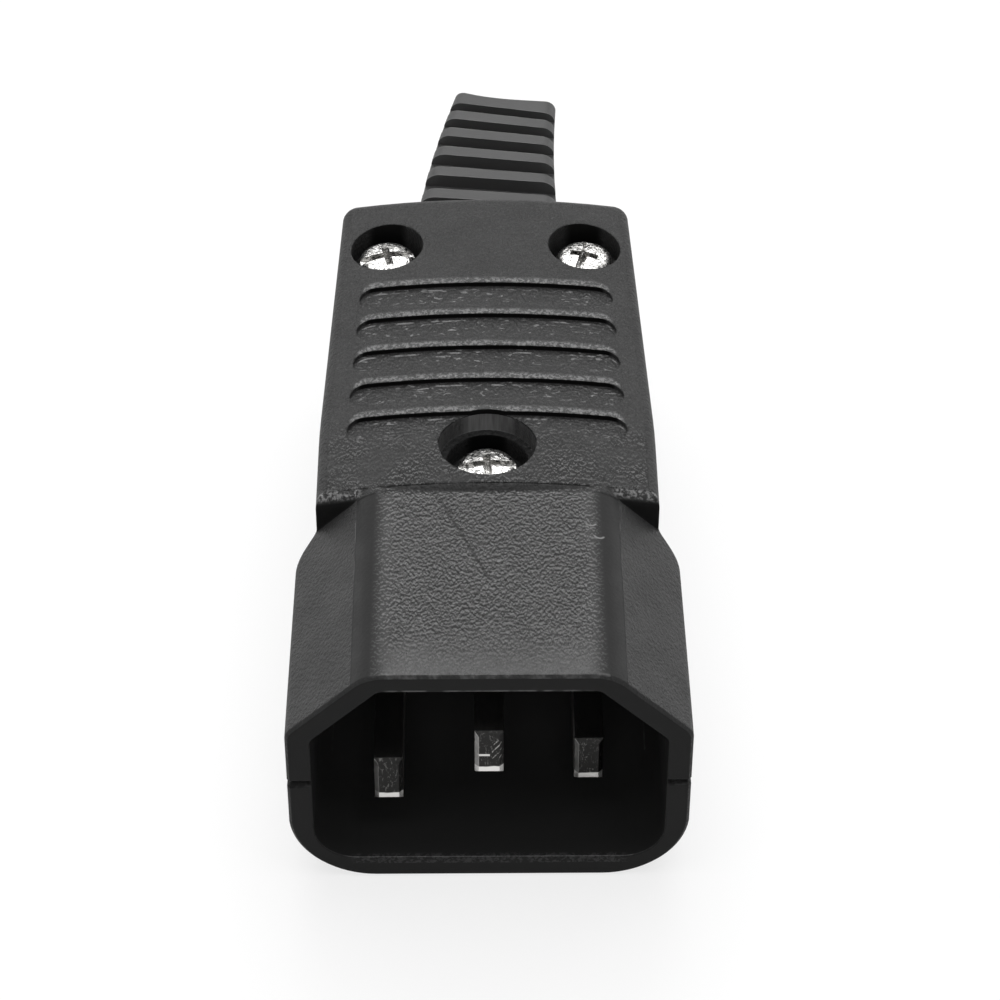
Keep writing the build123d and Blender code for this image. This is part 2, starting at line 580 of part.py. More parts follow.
def boot_size(distance, root, end):
    """A size of the boot that runs evenly from its root to its end."""
    return root + (end - root) * distance / BOOT_LENGTH


def boot_section(distance):
    """Rounded rectangular section of the boot."""
    outline = RectangleRounded(
        boot_size(distance, BOOT_ROOT_WIDTH, BOOT_END_WIDTH),
        boot_size(distance, BOOT_ROOT_HEIGHT, BOOT_END_HEIGHT),
        boot_size(distance, BOOT_ROOT_CORNER, BOOT_END_CORNER),
    )
    return boot_frame(distance) * outline


def boot_slots():
    """Slots across the top and the underside of the boot, wider towards its root."""
    slots = Part()
    far = BOOT_LENGTH - BOOT_COLLAR_LENGTH
    for index in range(BOOT_SLOT_COUNT):
        width = BOOT_SLOT_END_WIDTH + index * BOOT_SLOT_STEP
        middle = far - width / 2
        height = boot_size(middle, BOOT_ROOT_HEIGHT, BOOT_END_HEIGHT) / 2
        floor = height - boot_size(middle, BOOT_SLOT_ROOT_DEPTH, BOOT_SLOT_END_DEPTH)
        for side in (-1, 1):
            cutter = Pos(0, side * (floor + height / 2), 0) * Box(2 * BOOT_ROOT_WIDTH, height, width)
            slots += boot_frame(middle) * cutter
        far -= width + BOOT_RIB_THICKNESS
    return slots


def strain_relief_boot():
    """Soft boot: a bent, tapered and slotted sleeve, with a neck in the rear wall and a flange behind it."""
    step = BOOT_ARC_LENGTH / BOOT_LOFT_STATIONS
    stations = [BOOT_CLEARANCE] + [step * index for index in range(1, BOOT_LOFT_STATIONS + 1)]
    sleeve = loft([boot_section(distance) for distance in stations])
    sleeve += loft([boot_section(BOOT_ARC_LENGTH), boot_section(BOOT_LENGTH)])
    sleeve -= boot_slots()
    neck = Pos(0, CORD_AXIS_HEIGHT) * RectangleRounded(BOOT_NECK_WIDTH, BOOT_NECK_HEIGHT, BOOT_NECK_CORNER)
    flange = Pos(0, CORD_AXIS_HEIGHT) * RectangleRounded(
        BOOT_FLANGE_WIDTH, BOOT_FLANGE_HEIGHT, BOOT_FLANGE_CORNER
    )
    sleeve += along_plug(neck, BOOT_FLANGE_FRONT, GRIP_LENGTH + BOOT_CLEARANCE)
    sleeve += along_plug(flange, BOOT_FLANGE_FRONT, BOOT_FLANGE_REAR)
    start = boot_frame(BOOT_FLANGE_FRONT - GRIP_LENGTH - OVERRUN)
    arc_start = boot_frame(0)
    arc_end = boot_frame(BOOT_ARC_LENGTH)
    end = boot_frame(BOOT_LENGTH + OVERRUN)
    arc = ThreePointArc(arc_start.origin, boot_frame(BOOT_ARC_LENGTH / 2).origin, arc_end.origin)
    bore = sweep(start * Circle(CORD_BORE_RADIUS), Line(start.origin, arc_start.origin))
    bore += sweep(arc_start * Circle(CORD_BORE_RADIUS), arc)
    bore += sweep(arc_end * Circle(CORD_BORE_RADIUS), Line(arc_end.origin, end.origin))
    return sleeve - bore


def assembly():
    """Every node of the plug by name. A node of several fasteners holds one solid for each."""
    outside = shroud_body() + grip_body()
    nodes = {
        "upper_shell": [upper_shell(outside)],
        "lower_shell": [lower_shell(outside)],
        "strain_relief_boot": [strain_relief_boot()],
        "cord_clamp": [cord_clamp()],
        "cord_clamp_screws": [cord_clamp_screw(place) for place in CORD_CLAMP_PLACES],
        "rear_housing_screws": [housing_screw(place, REAR_SEAT_HEIGHT) for place in REAR_SCREW_PLACES],
        "front_housing_screw": [housing_screw(FRONT_SCREW_PLACE, FRONT_SEAT_HEIGHT)],
        "housing_nuts": [housing_nut(place) for place in SCREW_PLACES],
        "terminal_screws": [terminal_screw(name) for name in PINS],
    }
    for name in PINS:
        nodes[f"{name}_pin"] = [pin(name)]
        nodes[f"{name}_wire_clamp"] = [wire_clamp(name)]
    return nodes


os.makedirs("parts", exist_ok=True)
for node, pieces in assembly().items():
    solids = [solid for piece in pieces for solid in piece.solids()]
    shape = solids[0] if len(solids) == 1 else Compound(children=solids)
    export_step(shape, f"parts/{node}.step")
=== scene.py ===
import math
from collections import namedtuple

import bmesh
import bpy
from bpy.props import FloatProperty, FloatVectorProperty, IntProperty, PointerProperty
from mathutils import Matrix, Vector


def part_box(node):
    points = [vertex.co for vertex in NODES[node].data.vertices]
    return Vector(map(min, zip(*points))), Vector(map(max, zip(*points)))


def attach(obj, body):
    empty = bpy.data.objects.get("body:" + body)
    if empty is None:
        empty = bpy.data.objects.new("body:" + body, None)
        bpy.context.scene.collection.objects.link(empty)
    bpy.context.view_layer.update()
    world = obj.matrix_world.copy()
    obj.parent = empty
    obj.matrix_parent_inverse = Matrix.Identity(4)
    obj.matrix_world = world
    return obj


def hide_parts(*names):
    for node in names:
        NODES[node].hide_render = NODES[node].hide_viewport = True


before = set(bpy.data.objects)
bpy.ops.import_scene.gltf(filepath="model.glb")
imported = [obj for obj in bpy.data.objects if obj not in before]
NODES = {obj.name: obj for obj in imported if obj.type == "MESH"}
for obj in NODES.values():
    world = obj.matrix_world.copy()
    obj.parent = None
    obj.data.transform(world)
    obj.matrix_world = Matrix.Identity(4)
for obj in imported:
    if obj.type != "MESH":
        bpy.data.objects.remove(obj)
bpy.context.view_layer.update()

bl_info = {
    "name": "Rewirable Plug",
    "version": (1, 0, 0),
    "blender": (4, 5, 0),
    "location": "View3D > Sidebar > Plug",
    "description": "Dresses the plug's shells, pins, screws, nuts and boot, and sets its stage",
    "category": "Object",
}

MM = 0.001
MERGE = 1e-6

# How far a rounded normal turns away at an edge, and how many rays look for edges
EDGE_TURN = (0.985, 0.9)
BEVEL_SAMPLES = 6

# Screws of the plug, in millimetres and degrees: places in plan, height of each seat, turn of each recess
ScrewKind = namedtuple("ScrewKind", "node places seats turns length diameter head_diameter head_height")
SCREWS = {
    "rear_screws": ScrewKind(
        "rear_housing_screws", [(-7.625, 28.4), (7.625, 28.4)], (17.3, 17.3), (12, 74),
        length=16.7, diameter=2.5, head_diameter=4.5, head_height=1.7,
    ),
    "front_screw": ScrewKind(
        "front_housing_screw", [(0, 5.1)], (16.4,), (4,),
        length=15.8, diameter=2.5, head_diameter=4.5, head_height=1.7,
    ),
    "terminal_fixings": ScrewKind(
        "terminal_screws", [(-7, 6.05), (7, 7.85), (0, 13.45)], (8.05, 8.05, 12.05), (20, 65, 40),
        length=5.0, diameter=3.0, head_diameter=5.0, head_height=1.8,
    ),
    "clamp_fixings": ScrewKind(
        "cord_clamp_screws", [(-6.7, 21.6), (6.7, 21.6)], (12.0, 12.0), (33, 80),
        length=8.0, diameter=2.6, head_diameter=4.4, head_height=1.6,
    ),
}


class PlugSizes(bpy.types.PropertyGroup):
    """Sizes of the pieces that are modelled here."""

    thread_pitch: FloatProperty(
        name="Thread pitch", description="Distance between two turns of a screw's thread",
        default=0.45 * MM, unit="LENGTH", precision=5,
    )
    thread_depth: FloatProperty(
        name="Thread depth", description="Depth of a screw's thread",
        default=0.22 * MM, unit="LENGTH", precision=5,
    )
    recess_length: FloatProperty(
        name="Recess length", description="Length across the cross recess of a screw head",
        default=2.9 * MM, unit="LENGTH", precision=5,
    )
    recess_width: FloatProperty(
        name="Recess width", description="Width of each wing of the cross recess",
        default=0.72 * MM, unit="LENGTH", precision=5,
    )
    recess_depth: FloatProperty(
        name="Recess depth", description="Depth of the cross recess",
        default=1.15 * MM, unit="LENGTH", precision=5,
    )
    slot_width: FloatProperty(
        name="Slot width", description="Width of the driver slot across a screw head",
        default=0.62 * MM, unit="LENGTH", precision=5,
    )
    slot_depth: FloatProperty(
        name="Slot depth", description="Depth of the driver slot",
        default=0.55 * MM, unit="LENGTH", precision=5,
    )
    nut_flats: FloatProperty(
        name="Nut across flats", description="Distance across the flats of a housing nut",
        default=5.0 * MM, unit="LENGTH", precision=5,
    )
    nut_bore_radius: FloatProperty(
        name="Nut bore radius", description="Radius of the hole in a housing nut",
        default=1.3 * MM, unit="LENGTH", precision=5,
    )
    boot_end_dish: FloatProperty(
        name="Boot end dish", description="How far the middle of the boot's end is drawn in",
        default=0.4 * MM, unit="LENGTH", precision=5,
    )
    rib_rounding: FloatProperty(
        name="Rib rounding", description="Radius on the edges of the boot's ribs",
        default=0.16 * MM, unit="LENGTH", precision=5,
    )
    turn_steps: IntProperty(
        name="Turn steps", description="Steps of a turned piece round its axis", default=48, min=12,
    )


class PlugColours(bpy.types.PropertyGroup):
    """Colours of the plug's finishes."""

    plastic: FloatVectorProperty(
        name="Shell plastic", description="Colour of the moulded shells",
        default=(0.026, 0.026, 0.026), subtype="COLOR", min=0, max=1,
    )
    rubber: FloatVectorProperty(
        name="Boot rubber", description="Colour of the boot",
        default=(0.045, 0.045, 0.045), subtype="COLOR", min=0, max=1,
    )
    plating: FloatVectorProperty(
        name="Plating", description="Colour of the plated pins and screws",
        default=(0.80, 0.79, 0.77), subtype="COLOR", min=0, max=1,
    )
    brass: FloatVectorProperty(
        name="Brass", description="Colour of the bare brass nuts and plates",
        default=(0.72, 0.52, 0.24), subtype="COLOR", min=0, max=1,
    )
    floor: FloatVectorProperty(
        name="Floor", description="Colour of the floor under the plug",
        default=(0.86, 0.86, 0.86), subtype="COLOR", min=0, max=1,
    )


class Wire:
    """An output socket. Arithmetic on it adds Math nodes to its finish."""

    def __init__(self, finish, socket):
        self.finish = finish
        self.socket = socket

    def _math(self, operation, *values):
        return self.finish.node("ShaderNodeMath", {"operation": operation}, dict(enumerate(values)))

    def __add__(self, other):
        return self._math("ADD", self, other)

    def __sub__(self, other):
        return self._math("SUBTRACT", self, other)

    def __rsub__(self, other):
        return self._math("SUBTRACT", other, self)

    def __mul__(self, other):
        return self._math("MULTIPLY", self, other)

    def __truediv__(self, other):
        return self._math("DIVIDE", self, other)

    def __abs__(self):
        return self._math("ABSOLUTE", self)

    def wrapped(self, period):
        """The remainder after a period, from 0 up to it."""
        return self._math("FLOORED_MODULO", self, period)

    def root(self):
        return self._math("SQRT", self)

    def between(self, low, high):
        """1 inside a range and 0 outside it."""
        return self._math("GREATER_THAN", self, low) * self._math("LESS_THAN", self, high)

    def larger(self, other):
        return self._math("MAXIMUM", self, other)

    def smaller(self, other):
        return self._math("MINIMUM", self, other)


class Finish:
    """A node material while it is made."""

    def __init__(self, name):
        self.material = bpy.data.materials.new(name)
        self.material.use_nodes = True
        self.tree = self.material.node_tree
        self.tree.nodes.clear()
        self.object_place = self.node("ShaderNodeTexCoord", output="Object")
        self.x, self.y, self.z = (axis / MM for axis in self.axes(self.object_place))

    def node(self, kind, settings=None, inputs=None, output=0):
        """Add a node: its settings first, then its values and links. Returns one of its outputs."""
        made = self.tree.nodes.new(kind)
        for key, value in (settings or {}).items():
            setattr(made, key, value)
        for key, value in (inputs or {}).items():
            socket = made.inputs[key]
            if isinstance(value, Wire):
                self.tree.links.new(value.socket, socket)
            else:
                socket.default_value = value
        return Wire(self, made.outputs[output]) if made.outputs else made

    def axes(self, vector):
        first = self.node("ShaderNodeSeparateXYZ", None, {0: vector})
        return tuple(Wire(self, socket) for socket in first.socket.node.outputs)

    def normals(self):
        """Object space normal of the surface, axis by axis."""
        return self.axes(self.node("ShaderNodeTexCoord", output="Normal"))

    def noise(self, scale, detail=2.0, roughness=0.5, stretch=(1.0, 1.0, 1.0), distortion=0.0, shift=0.0):
        """Noise of a scale per metre, finer along an axis where its stretch is larger, shifted along Y."""
        place = self.node(
            "ShaderNodeMapping", None,
            {"Vector": self.object_place, "Scale": stretch, "Location": (0.0, shift, 0.0)},
        )
        return self.node(
            "ShaderNodeTexNoise", {"noise_dimensions": "3D"},
            {
                "Vector": place, "Scale": scale, "Detail": detail, "Roughness": roughness,
                "Distortion": distortion,
            },
        )

    def distance(self, x, y):
        """Distance in plan from a place in millimetres."""
        return ((self.x - x) * (self.x - x) + (self.y - y) * (self.y - y)).root()

    def step(self, value, low, high):
        """A smooth rise from 0 to 1 between two values, or a fall where the first is the larger."""
        return self.node(
            "ShaderNodeMapRange", {"interpolation_type": "SMOOTHSTEP"},
            {"Value": value, "From Min": low, "From Max": high},
        )

    def spread(self, value, low, high, to_low, to_high):
        """A value carried from one range to another, held at its ends."""
        return self.node(
            "ShaderNodeMapRange", None,
            {"Value": value, "From Min": low, "From Max": high, "To Min": to_low, "To Max": to_high},
        )

    def mix(self, share, first, second):
        """A colour between two colours."""
        return self.node(
            "ShaderNodeMix", {"data_type": "RGBA"}, {0: share, 6: first, 7: second}, 2,
        )

    def edges_rounded(self, radius):
        """Normal of the surface as it would be with its edges rounded."""
        return self.node("ShaderNodeBevel", {"samples": BEVEL_SAMPLES}, {"Radius": radius})

    def edge(self, radius):
        """1 at the edges of a piece and 0 on its open faces."""
        true = self.node("ShaderNodeNewGeometry", output="Normal")
        facing = self.node(
            "ShaderNodeVectorMath", {"operation": "DOT_PRODUCT"},
            {0: self.edges_rounded(radius), 1: true}, "Value",
        )
        return self.step(facing, *EDGE_TURN)

    def bump(self, height, distance, normal=None):
        inputs = {"Height": height, "Distance": distance, "Strength": 1.0}
        if normal is not None:
            inputs["Normal"] = normal
        return self.node("ShaderNodeBump", None, inputs)

    def shader(self, **sockets):
        """A Principled BSDF. Words are socket names with _ for a space."""
        inputs = {key.replace("_", " "): value for key, value in sockets.items()}
        return self.node("ShaderNodeBsdfPrincipled", None, inputs)

    def closed(self, shader):
        self.node("ShaderNodeOutputMaterial", None, {"Surface": shader})
        return self.material


def rgba(colour, level=1.0):
    return (*(min(channel * level, 1.0) for channel in colour), 1.0)


# Places on the shells in millimetres, for the marks that the mould and wear have left there and for painted
# light and shade
RIM = -18.5
SEAM = 9.55
POCKET_FIRST = 8.45
POCKET_PITCH = 3.75
POCKET_COUNT = 5
POCKET_LAST = POCKET_FIRST + (POCKET_COUNT - 1) * POCKET_PITCH
POCKET_END = {"start": 8.9, "taper_from": 8.0, "taper": 0.0415, "reach": 1.2, "radius": 1.3}
SCRATCH = ((-3.37, -0.94), (0.11, -9.14))
SHROUD_TOP = (19.0, 21.0)
NICKS = ((7.23, -3.3), (7.76, -4.5))
NICK_RADIUS = 0.36
FRONT_HOLE = (0.0, 5.1)
FRONT_HOLE_RADIUS = 3.55
FRONT_HOLE_WALL = (17.9, 19.7)
CAVITY = {"half_width": 12.7, "low": 1.6, "high": 18.8, "slope": 26.7, "rear": -1.9}

# Noise of the mould's grain: scale per metre, detail, roughness, stretch and distortion
GRAIN = (3500, 2.0, 0.5, (1.45, 1.0, 1.0), 0.3)
# Shift along Y between two samples of the grain noise; their difference paints a highlight on one side of
# each grain and shade on the other
PAINTED_EMBOSS_SHIFT = 0.06 * MM
GRAIN_HEIGHT = 1.1 * MM

# Tones of the plastic, as levels of its colour. Several are painted light or shade: a lighter top on the
# shroud, highlight and shade on the grain, shade inside the front screw hole and light on its wall, darker
# walls that face the front and rim, light at the back of the cavity, and highlights among the wear
TONES = {
    "grip": 0.95,
    "shroud": 1.3,
    # painted light: the shroud's upward flats made lighter
    "painted shroud top light": 4.4,
    "patch": 0.6,
    "band": 0.25,
    # painted highlight and painted shade on the two sides of each grain
    "painted grain highlight": 11.5,
    "painted grain shade": 0.3,
    # wear, and painted highlights along edges
    "worn": 8.0,
    "scratch": 0.4,
    # painted shade inside the front screw hole
    "hole": 0.7,
    # painted light on the side walls of the front screw hole, with paler streaking
    "streak with painted light": 5.0,
    "seam": 0.05,
    # darker tones painted as shade on the grip's walls that face the front, and on the rim
    "grip wall": 0.12,
    # darker tone painted as shade on the rim and the cavity
    "rim": 0.5,
    # painted light: the cavity lighter towards its back, where less light reaches
    "cavity": 2.2,
    # wear, and painted highlights along edges, on walls that face the front
    "worn wall": 4.0,
    # painted light on the front-facing wall of the front screw hole, with paler streaking
    "streaked wall with painted light": 12.0,
}


class ShellFinish(Finish):
    """The shells' plastic while it is made. Its masks are 1 inside a region and 0 outside it."""

    def __init__(self, name, colour):
        super().__init__(name)
        self.colour = colour
        _, self.along, self.up = self.normals()
        self.fine = self.noise(6200, 2.0, 0.5)
        self.patches = self.noise(330, 2.0, 0.6)
        self.grit = self.step(self.noise(3800, 2.0, 0.6, distortion=0.6), 0.44, 0.6)
        self.shroud = self.step(self.y, 0.15, -0.15)
        self.flat = self.step(self.up, 0.94, 0.98)
        self.from_hole = self.distance(*FRONT_HOLE)

    def tone(self, name):
        return rgba(self.colour, TONES[name])

    def painted(self, shade, layers):
        """Lay tones over a colour, each by its share."""
        for share, name in layers:
            shade = self.mix(share, shade, self.tone(name))
        return shade


def scratch_mark(f):
    """Straight scratch on the top of the shroud."""
    (x0, y0), (x1, y1) = SCRATCH
    length = math.hypot(x1 - x0, y1 - y0)
    away = (f.x - x0) * ((y1 - y0) / length) - (f.y - y0) * ((x1 - x0) / length)
    return f.step(abs(away), 0.16, 0.04) * f.y.between(min(y0, y1), max(y0, y1)) * f.z.between(*SHROUD_TOP)


def nick_marks(f):
    """Two small curved nicks beside the top of the shroud."""
    marks = []
    for x, y in NICKS:
        arc = f.step(abs(f.distance(x, y) - NICK_RADIUS), 0.1, 0.03)
        marks.append(arc * f.step(f.y, y - 0.05, y - 0.2))
    return marks[0].larger(marks[1]) * f.z.between(17.5, 21.0)


def lip_marks(f):
    """Rough bright fringe behind the rear wall of each pocket, bent forward at its round ends, and a bright
    line on the floor just in front of that wall: painted highlights along rubbed edges.
    """
    radius, reach = POCKET_END["radius"], POCKET_END["reach"]
    end = abs(f.x) - POCKET_END["start"] + (f.y - POCKET_END["taper_from"]) * POCKET_END["taper"]
    end = end.larger(0.0).smaller(reach)
    lip = f.y + radius - (radius * radius - end * end).root()
    behind = (lip - POCKET_FIRST).wrapped(POCKET_PITCH)
    fringe = f.step(behind, 0.8, 0.4) * lip.between(POCKET_FIRST, POCKET_LAST + POCKET_PITCH / 2)
    fringe = fringe * (f.grit * 0.8 + 0.2)
    foot = f.step(abs(behind - POCKET_PITCH + 0.42), 0.14, 0.05) * f.step(f.noise(800, 2.0, 0.6), 0.52, 0.62)
    foot = foot * f.y.between(POCKET_FIRST - 1.0, POCKET_LAST)
    return fringe.larger(foot) * f.step(end, reach, reach - 0.3)


def dash_marks(f):
    """Short bright dashes scattered over the floors of the pockets."""
    before = (POCKET_FIRST - f.y).wrapped(POCKET_PITCH)
    floors = f.y.between(POCKET_FIRST - 2.4, POCKET_LAST) * f.step(before, 2.5, 2.1)
    floors = floors * f.step(abs(f.x), 9.8, 9.0)
    return floors * f.step(f.noise(2100, 2.0, 0.6, (0.7, 1.3, 1.0), 0.8), 0.6, 0.7)


def corner_marks(f):
    """Rough bright grain on the two front corners of the grip: a painted highlight on rubbed edges."""
    return f.step(abs(f.x), 8.6, 9.4) * f.step(f.y, 1.0, 0.6) * f.step(f.y, 0.1, 0.3) * f.grit


def rim_marks(f):
    """Painted highlights along the rim's edges: bright edges over the opening, a grainy inner edge under it,
    and a broken line along its upper front edge.
    """
    front = f.step(f.y, RIM + 0.5, RIM + 0.2)
    over = f.z.between(18.5, 18.68) * f.step(abs(f.x), 7.2, 6.6) * f.step(f.noise(700, 2.0, 0.6), 0.4, 0.55)
    under = f.z.between(1.35, 2.0) * f.step(abs(f.x), 10.0, 9.0) * f.grit * 0.4
    outer = f.z.between(19.75, 20.2) * f.step(f.noise(1300, 2.0, 0.6), 0.4, 0.7) * 0.4
    return front * (over + under + outer)


def border_marks(f):
    """Broken bright line between each round band and its chamfer."""
    line = f.step(f.up, 0.709, 0.714) * f.step(f.up, 0.75, 0.735) * f.shroud * f.y.between(-9.0, -2.0)
    return line * f.step(f.patches, 0.42, 0.55)


def wear_and_highlight_marks(f):
    """All bright places outside the front screw hole: wear, nicks and dashes, and painted highlights along
    edges.
    """
    worn = lip_marks(f).larger(dash_marks(f)).larger(corner_marks(f)) * f.step(f.up, 0.3, 0.6)
    worn = worn.larger(rim_marks(f)).larger(nick_marks(f)).larger(border_marks(f))
    return worn * f.step(f.from_hole, FRONT_HOLE_RADIUS - 0.05, FRONT_HOLE_RADIUS + 0.1)


def seam_marks(f):
    """Ragged dark gap where the seam between the shells meets the rim."""
    wave = f.noise(900, 2.0, 0.6)
    gap = f.step(abs(f.z - SEAM + (wave - 0.5) * 1.2), 0.32, 0.12)
    return gap * f.step(abs(f.x), 12.2, 12.5) * f.step(f.y, RIM + 0.7, RIM + 0.4)


def hole_streaks_and_light(f):
    """Pale streaking down the wall of the front screw hole, over painted light that lifts the whole wall."""
    # painted light lifting the whole wall of the hole, with paler streaking over it
    streaks_with_light = f.step(f.noise(1700, 3.0, 0.6, (1.0, 1.0, 0.1)), 0.35, 0.7) * 0.35 + 0.4
    wall = f.step(abs(f.from_hole - FRONT_HOLE_RADIUS), 0.2, 0.1)
    return streaks_with_light * wall * f.z.between(*FRONT_HOLE_WALL)


def grain_and_emboss_share(f):
    """Share of the grain's bumps and of its painted highlight and shade: most on the shroud's top, in spots
    on the grip's front, weak elsewhere.
    """
    shroud_top = f.shroud * f.step(f.y, RIM - 0.5, RIM + 6.0) * f.step(abs(f.x), 7.9, 6.1)
    spots = f.step(f.noise(420, 3.0, 0.7), 0.3, 0.75)
    grip_front = (1 - f.shroud) * f.step(f.y, 9.0, 4.0) * spots * 0.7
    return f.flat * ((shroud_top + grip_front) * 0.88 + 0.12)


def grained_plastic(f, worn, seam, streaks_with_light):
    """Shader of the open faces: grained flats with painted highlight and shade on the grain, a lighter top
    on the shroud painted as light, smooth round bands on the shroud, wear with painted highlights, painted
    shade in the front screw hole and painted light on its wall.
    """
    band = f.step(f.up, 0.715, 0.76) * f.step(abs(f.x), 6.2, 7.9) * f.shroud * f.step(f.z, 16.0, 17.0)
    grain_and_emboss = grain_and_emboss_share(f)
    scratch = scratch_mark(f)
    painted_emboss = f.noise(*GRAIN, PAINTED_EMBOSS_SHIFT) - f.noise(*GRAIN, -PAINTED_EMBOSS_SHIFT)
    shade = f.painted(f.mix(f.shroud, f.tone("grip"), f.tone("shroud")), [
        # painted light: the shroud's upward flats made lighter
        (f.flat * f.shroud * 0.8, "painted shroud top light"),
        (f.step(f.patches, 0.3, 0.75) * 0.25, "patch"),
        (band * 0.95, "band"),
        # painted highlight and painted shade on the two sides of each grain, from two shifted samples of its
        # noise
        (f.step(painted_emboss, 0.015, 0.11) * grain_and_emboss, "painted grain highlight"),
        (f.step(painted_emboss, -0.02, -0.13) * grain_and_emboss, "painted grain shade"),
        # wear, and painted highlights along edges
        (worn * 0.85, "worn"),
        (scratch * 0.5, "scratch"),
        # painted shade inside the front screw hole
        (f.step(f.from_hole, FRONT_HOLE_RADIUS - 0.05, FRONT_HOLE_RADIUS - 0.15) * 0.8, "hole"),
        # painted light on the side walls of the front screw hole, with paler streaking
        (streaks_with_light * f.step(f.up, 0.5, 0.2), "streak with painted light"),
        (seam * 0.9, "seam"),
    ])
    height = f.noise(*GRAIN) * (grain_and_emboss * 0.7 + 0.16) + f.fine * 0.05
    height = height * (1 - band * 0.9) - scratch * 0.1
    normal = f.bump(height, GRAIN_HEIGHT, f.edges_rounded(0.3 * MM))
    rough = f.spread(f.fine + f.patches, 0.6, 1.4, 0.42, 0.58)
    return f.shader(Base_Color=shade, Roughness=rough, Normal=normal, Specular_IOR_Level=0.18)


def smooth_painted_shade_plastic(f, inside, worn, seam, streaks_with_light):
    """Shader of the smooth walls: the rim, the front of the grip, the pockets and the cavity, in darker
    tones painted as shade, with painted light towards the back of the cavity.
    """
    # painted light: the cavity lighter towards its back, where less light reaches
    painted_light_to_back = f.spread(f.y, -17.0, -3.0, 0.1, 1.0)
    # darker tones of the plastic, painted as shade on walls that face the front and in the cavity
    shade = f.painted(f.mix(f.shroud, f.tone("grip wall"), f.tone("rim")), [
        # painted light in the cavity
        (inside * painted_light_to_back, "cavity"),
        # wear, and painted highlights along edges
        (worn * 0.8, "worn wall"),
        # painted light on the front-facing wall of the front screw hole, with paler streaking
        (streaks_with_light, "streaked wall with painted light"),
        (seam * 0.9, "seam"),
    ])
    normal = f.edges_rounded(0.2 * MM)
    return f.shader(Base_Color=shade, Roughness=0.55, Normal=normal, Specular_IOR_Level=0.08)


def cavity_walls(f):
    """Walls of the opening that takes the mating connector."""
    width, slope = CAVITY["half_width"], CAVITY["slope"]
    inside = f.step(abs(f.x), width, width - 0.2) * f.step(abs(f.x) + f.z, slope, slope - 0.2)
    return inside * f.z.between(CAVITY["low"], CAVITY["high"]) * f.y.between(RIM + 0.1, CAVITY["rear"])


def front_walls(f):
    """Walls that face the mating end, painted darker as shade, less so at the upper edge of the grip's
    front.
    """
    front = f.step(f.along, -0.6, -0.85) * f.shroud.larger(f.step(f.along, -0.8, -0.95))
    return front * (1 - f.y.between(-0.3, 0.3) * f.z.between(19.0, 20.4) * 0.7)


def moulded_plastic(colour):
    """Black plastic from a spark-eroded mould: grained faces, and smooth walls that face the front or line
    the cavity, painted darker as shade.
    """
    f = ShellFinish("moulded_plastic", colour)
    marks = wear_and_highlight_marks(f), seam_marks(f), hole_streaks_and_light(f)
    inside = cavity_walls(f)
    # walls that face the front and the cavity walls take the smooth copy painted darker as shade
    walls = inside.larger(front_walls(f))
    grained = grained_plastic(f, *marks)
    smooth = smooth_painted_shade_plastic(f, inside, *marks)
    return f.closed(f.node("ShaderNodeMixShader", None, {0: walls, 1: grained, 2: smooth}))


def boot_rubber(colour):
    """Soft black rubber with a dull bloom, fine flow lines, painted highlights on the rib edges, and painted
    light on faces that look to the front.
    """
    f = Finish("boot_rubber")
    _, along, _ = f.normals()
    flow = f.noise(1500, 3.0, 0.6, (1.0, 3.0, 1.0))
    bloom = f.noise(260, 3.0, 0.6)
    # painted highlight along the rib edges, broken up by noise
    rubbed = f.edge(0.16 * MM) * f.step(f.noise(900, 2.0, 0.6), 0.35, 0.6)
    shade = f.mix(f.step(bloom, 0.3, 0.7), rgba(colour, 0.88), rgba(colour, 1.12))
    shade = f.mix(rubbed * 0.8, shade, rgba(colour, 3.0))
    # painted light: faces that look to the front made lighter
    shade = f.mix(f.step(along, -0.5, -0.9), shade, rgba(colour, 1.4))
    rough = f.spread(bloom, 0.3, 0.7, 0.5, 0.64)
    normal = f.bump(flow, 0.012 * MM)
    return f.closed(f.shader(Base_Color=shade, Roughness=rough, Normal=normal, Specular_IOR_Level=0.3))


# Pins in millimetres: height of the lower edge of a pin, step from pin to pin, height of the bright foot
# with its painted reflection, and the dash and the slanting cuts on the earth pin's end
PIN_FOOT = (1.55, 4.0, 0.78)
EARTH_HALF_WIDTH = 0.95
EARTH_DASH = {"x": (-0.8, 0.05), "z": (11.36, 11.56)}
EARTH_CUTS = {"x": (0.2, 0.85), "z": (11.0, 12.9), "pitch": 0.36, "slant": (0.8, 0.6)}


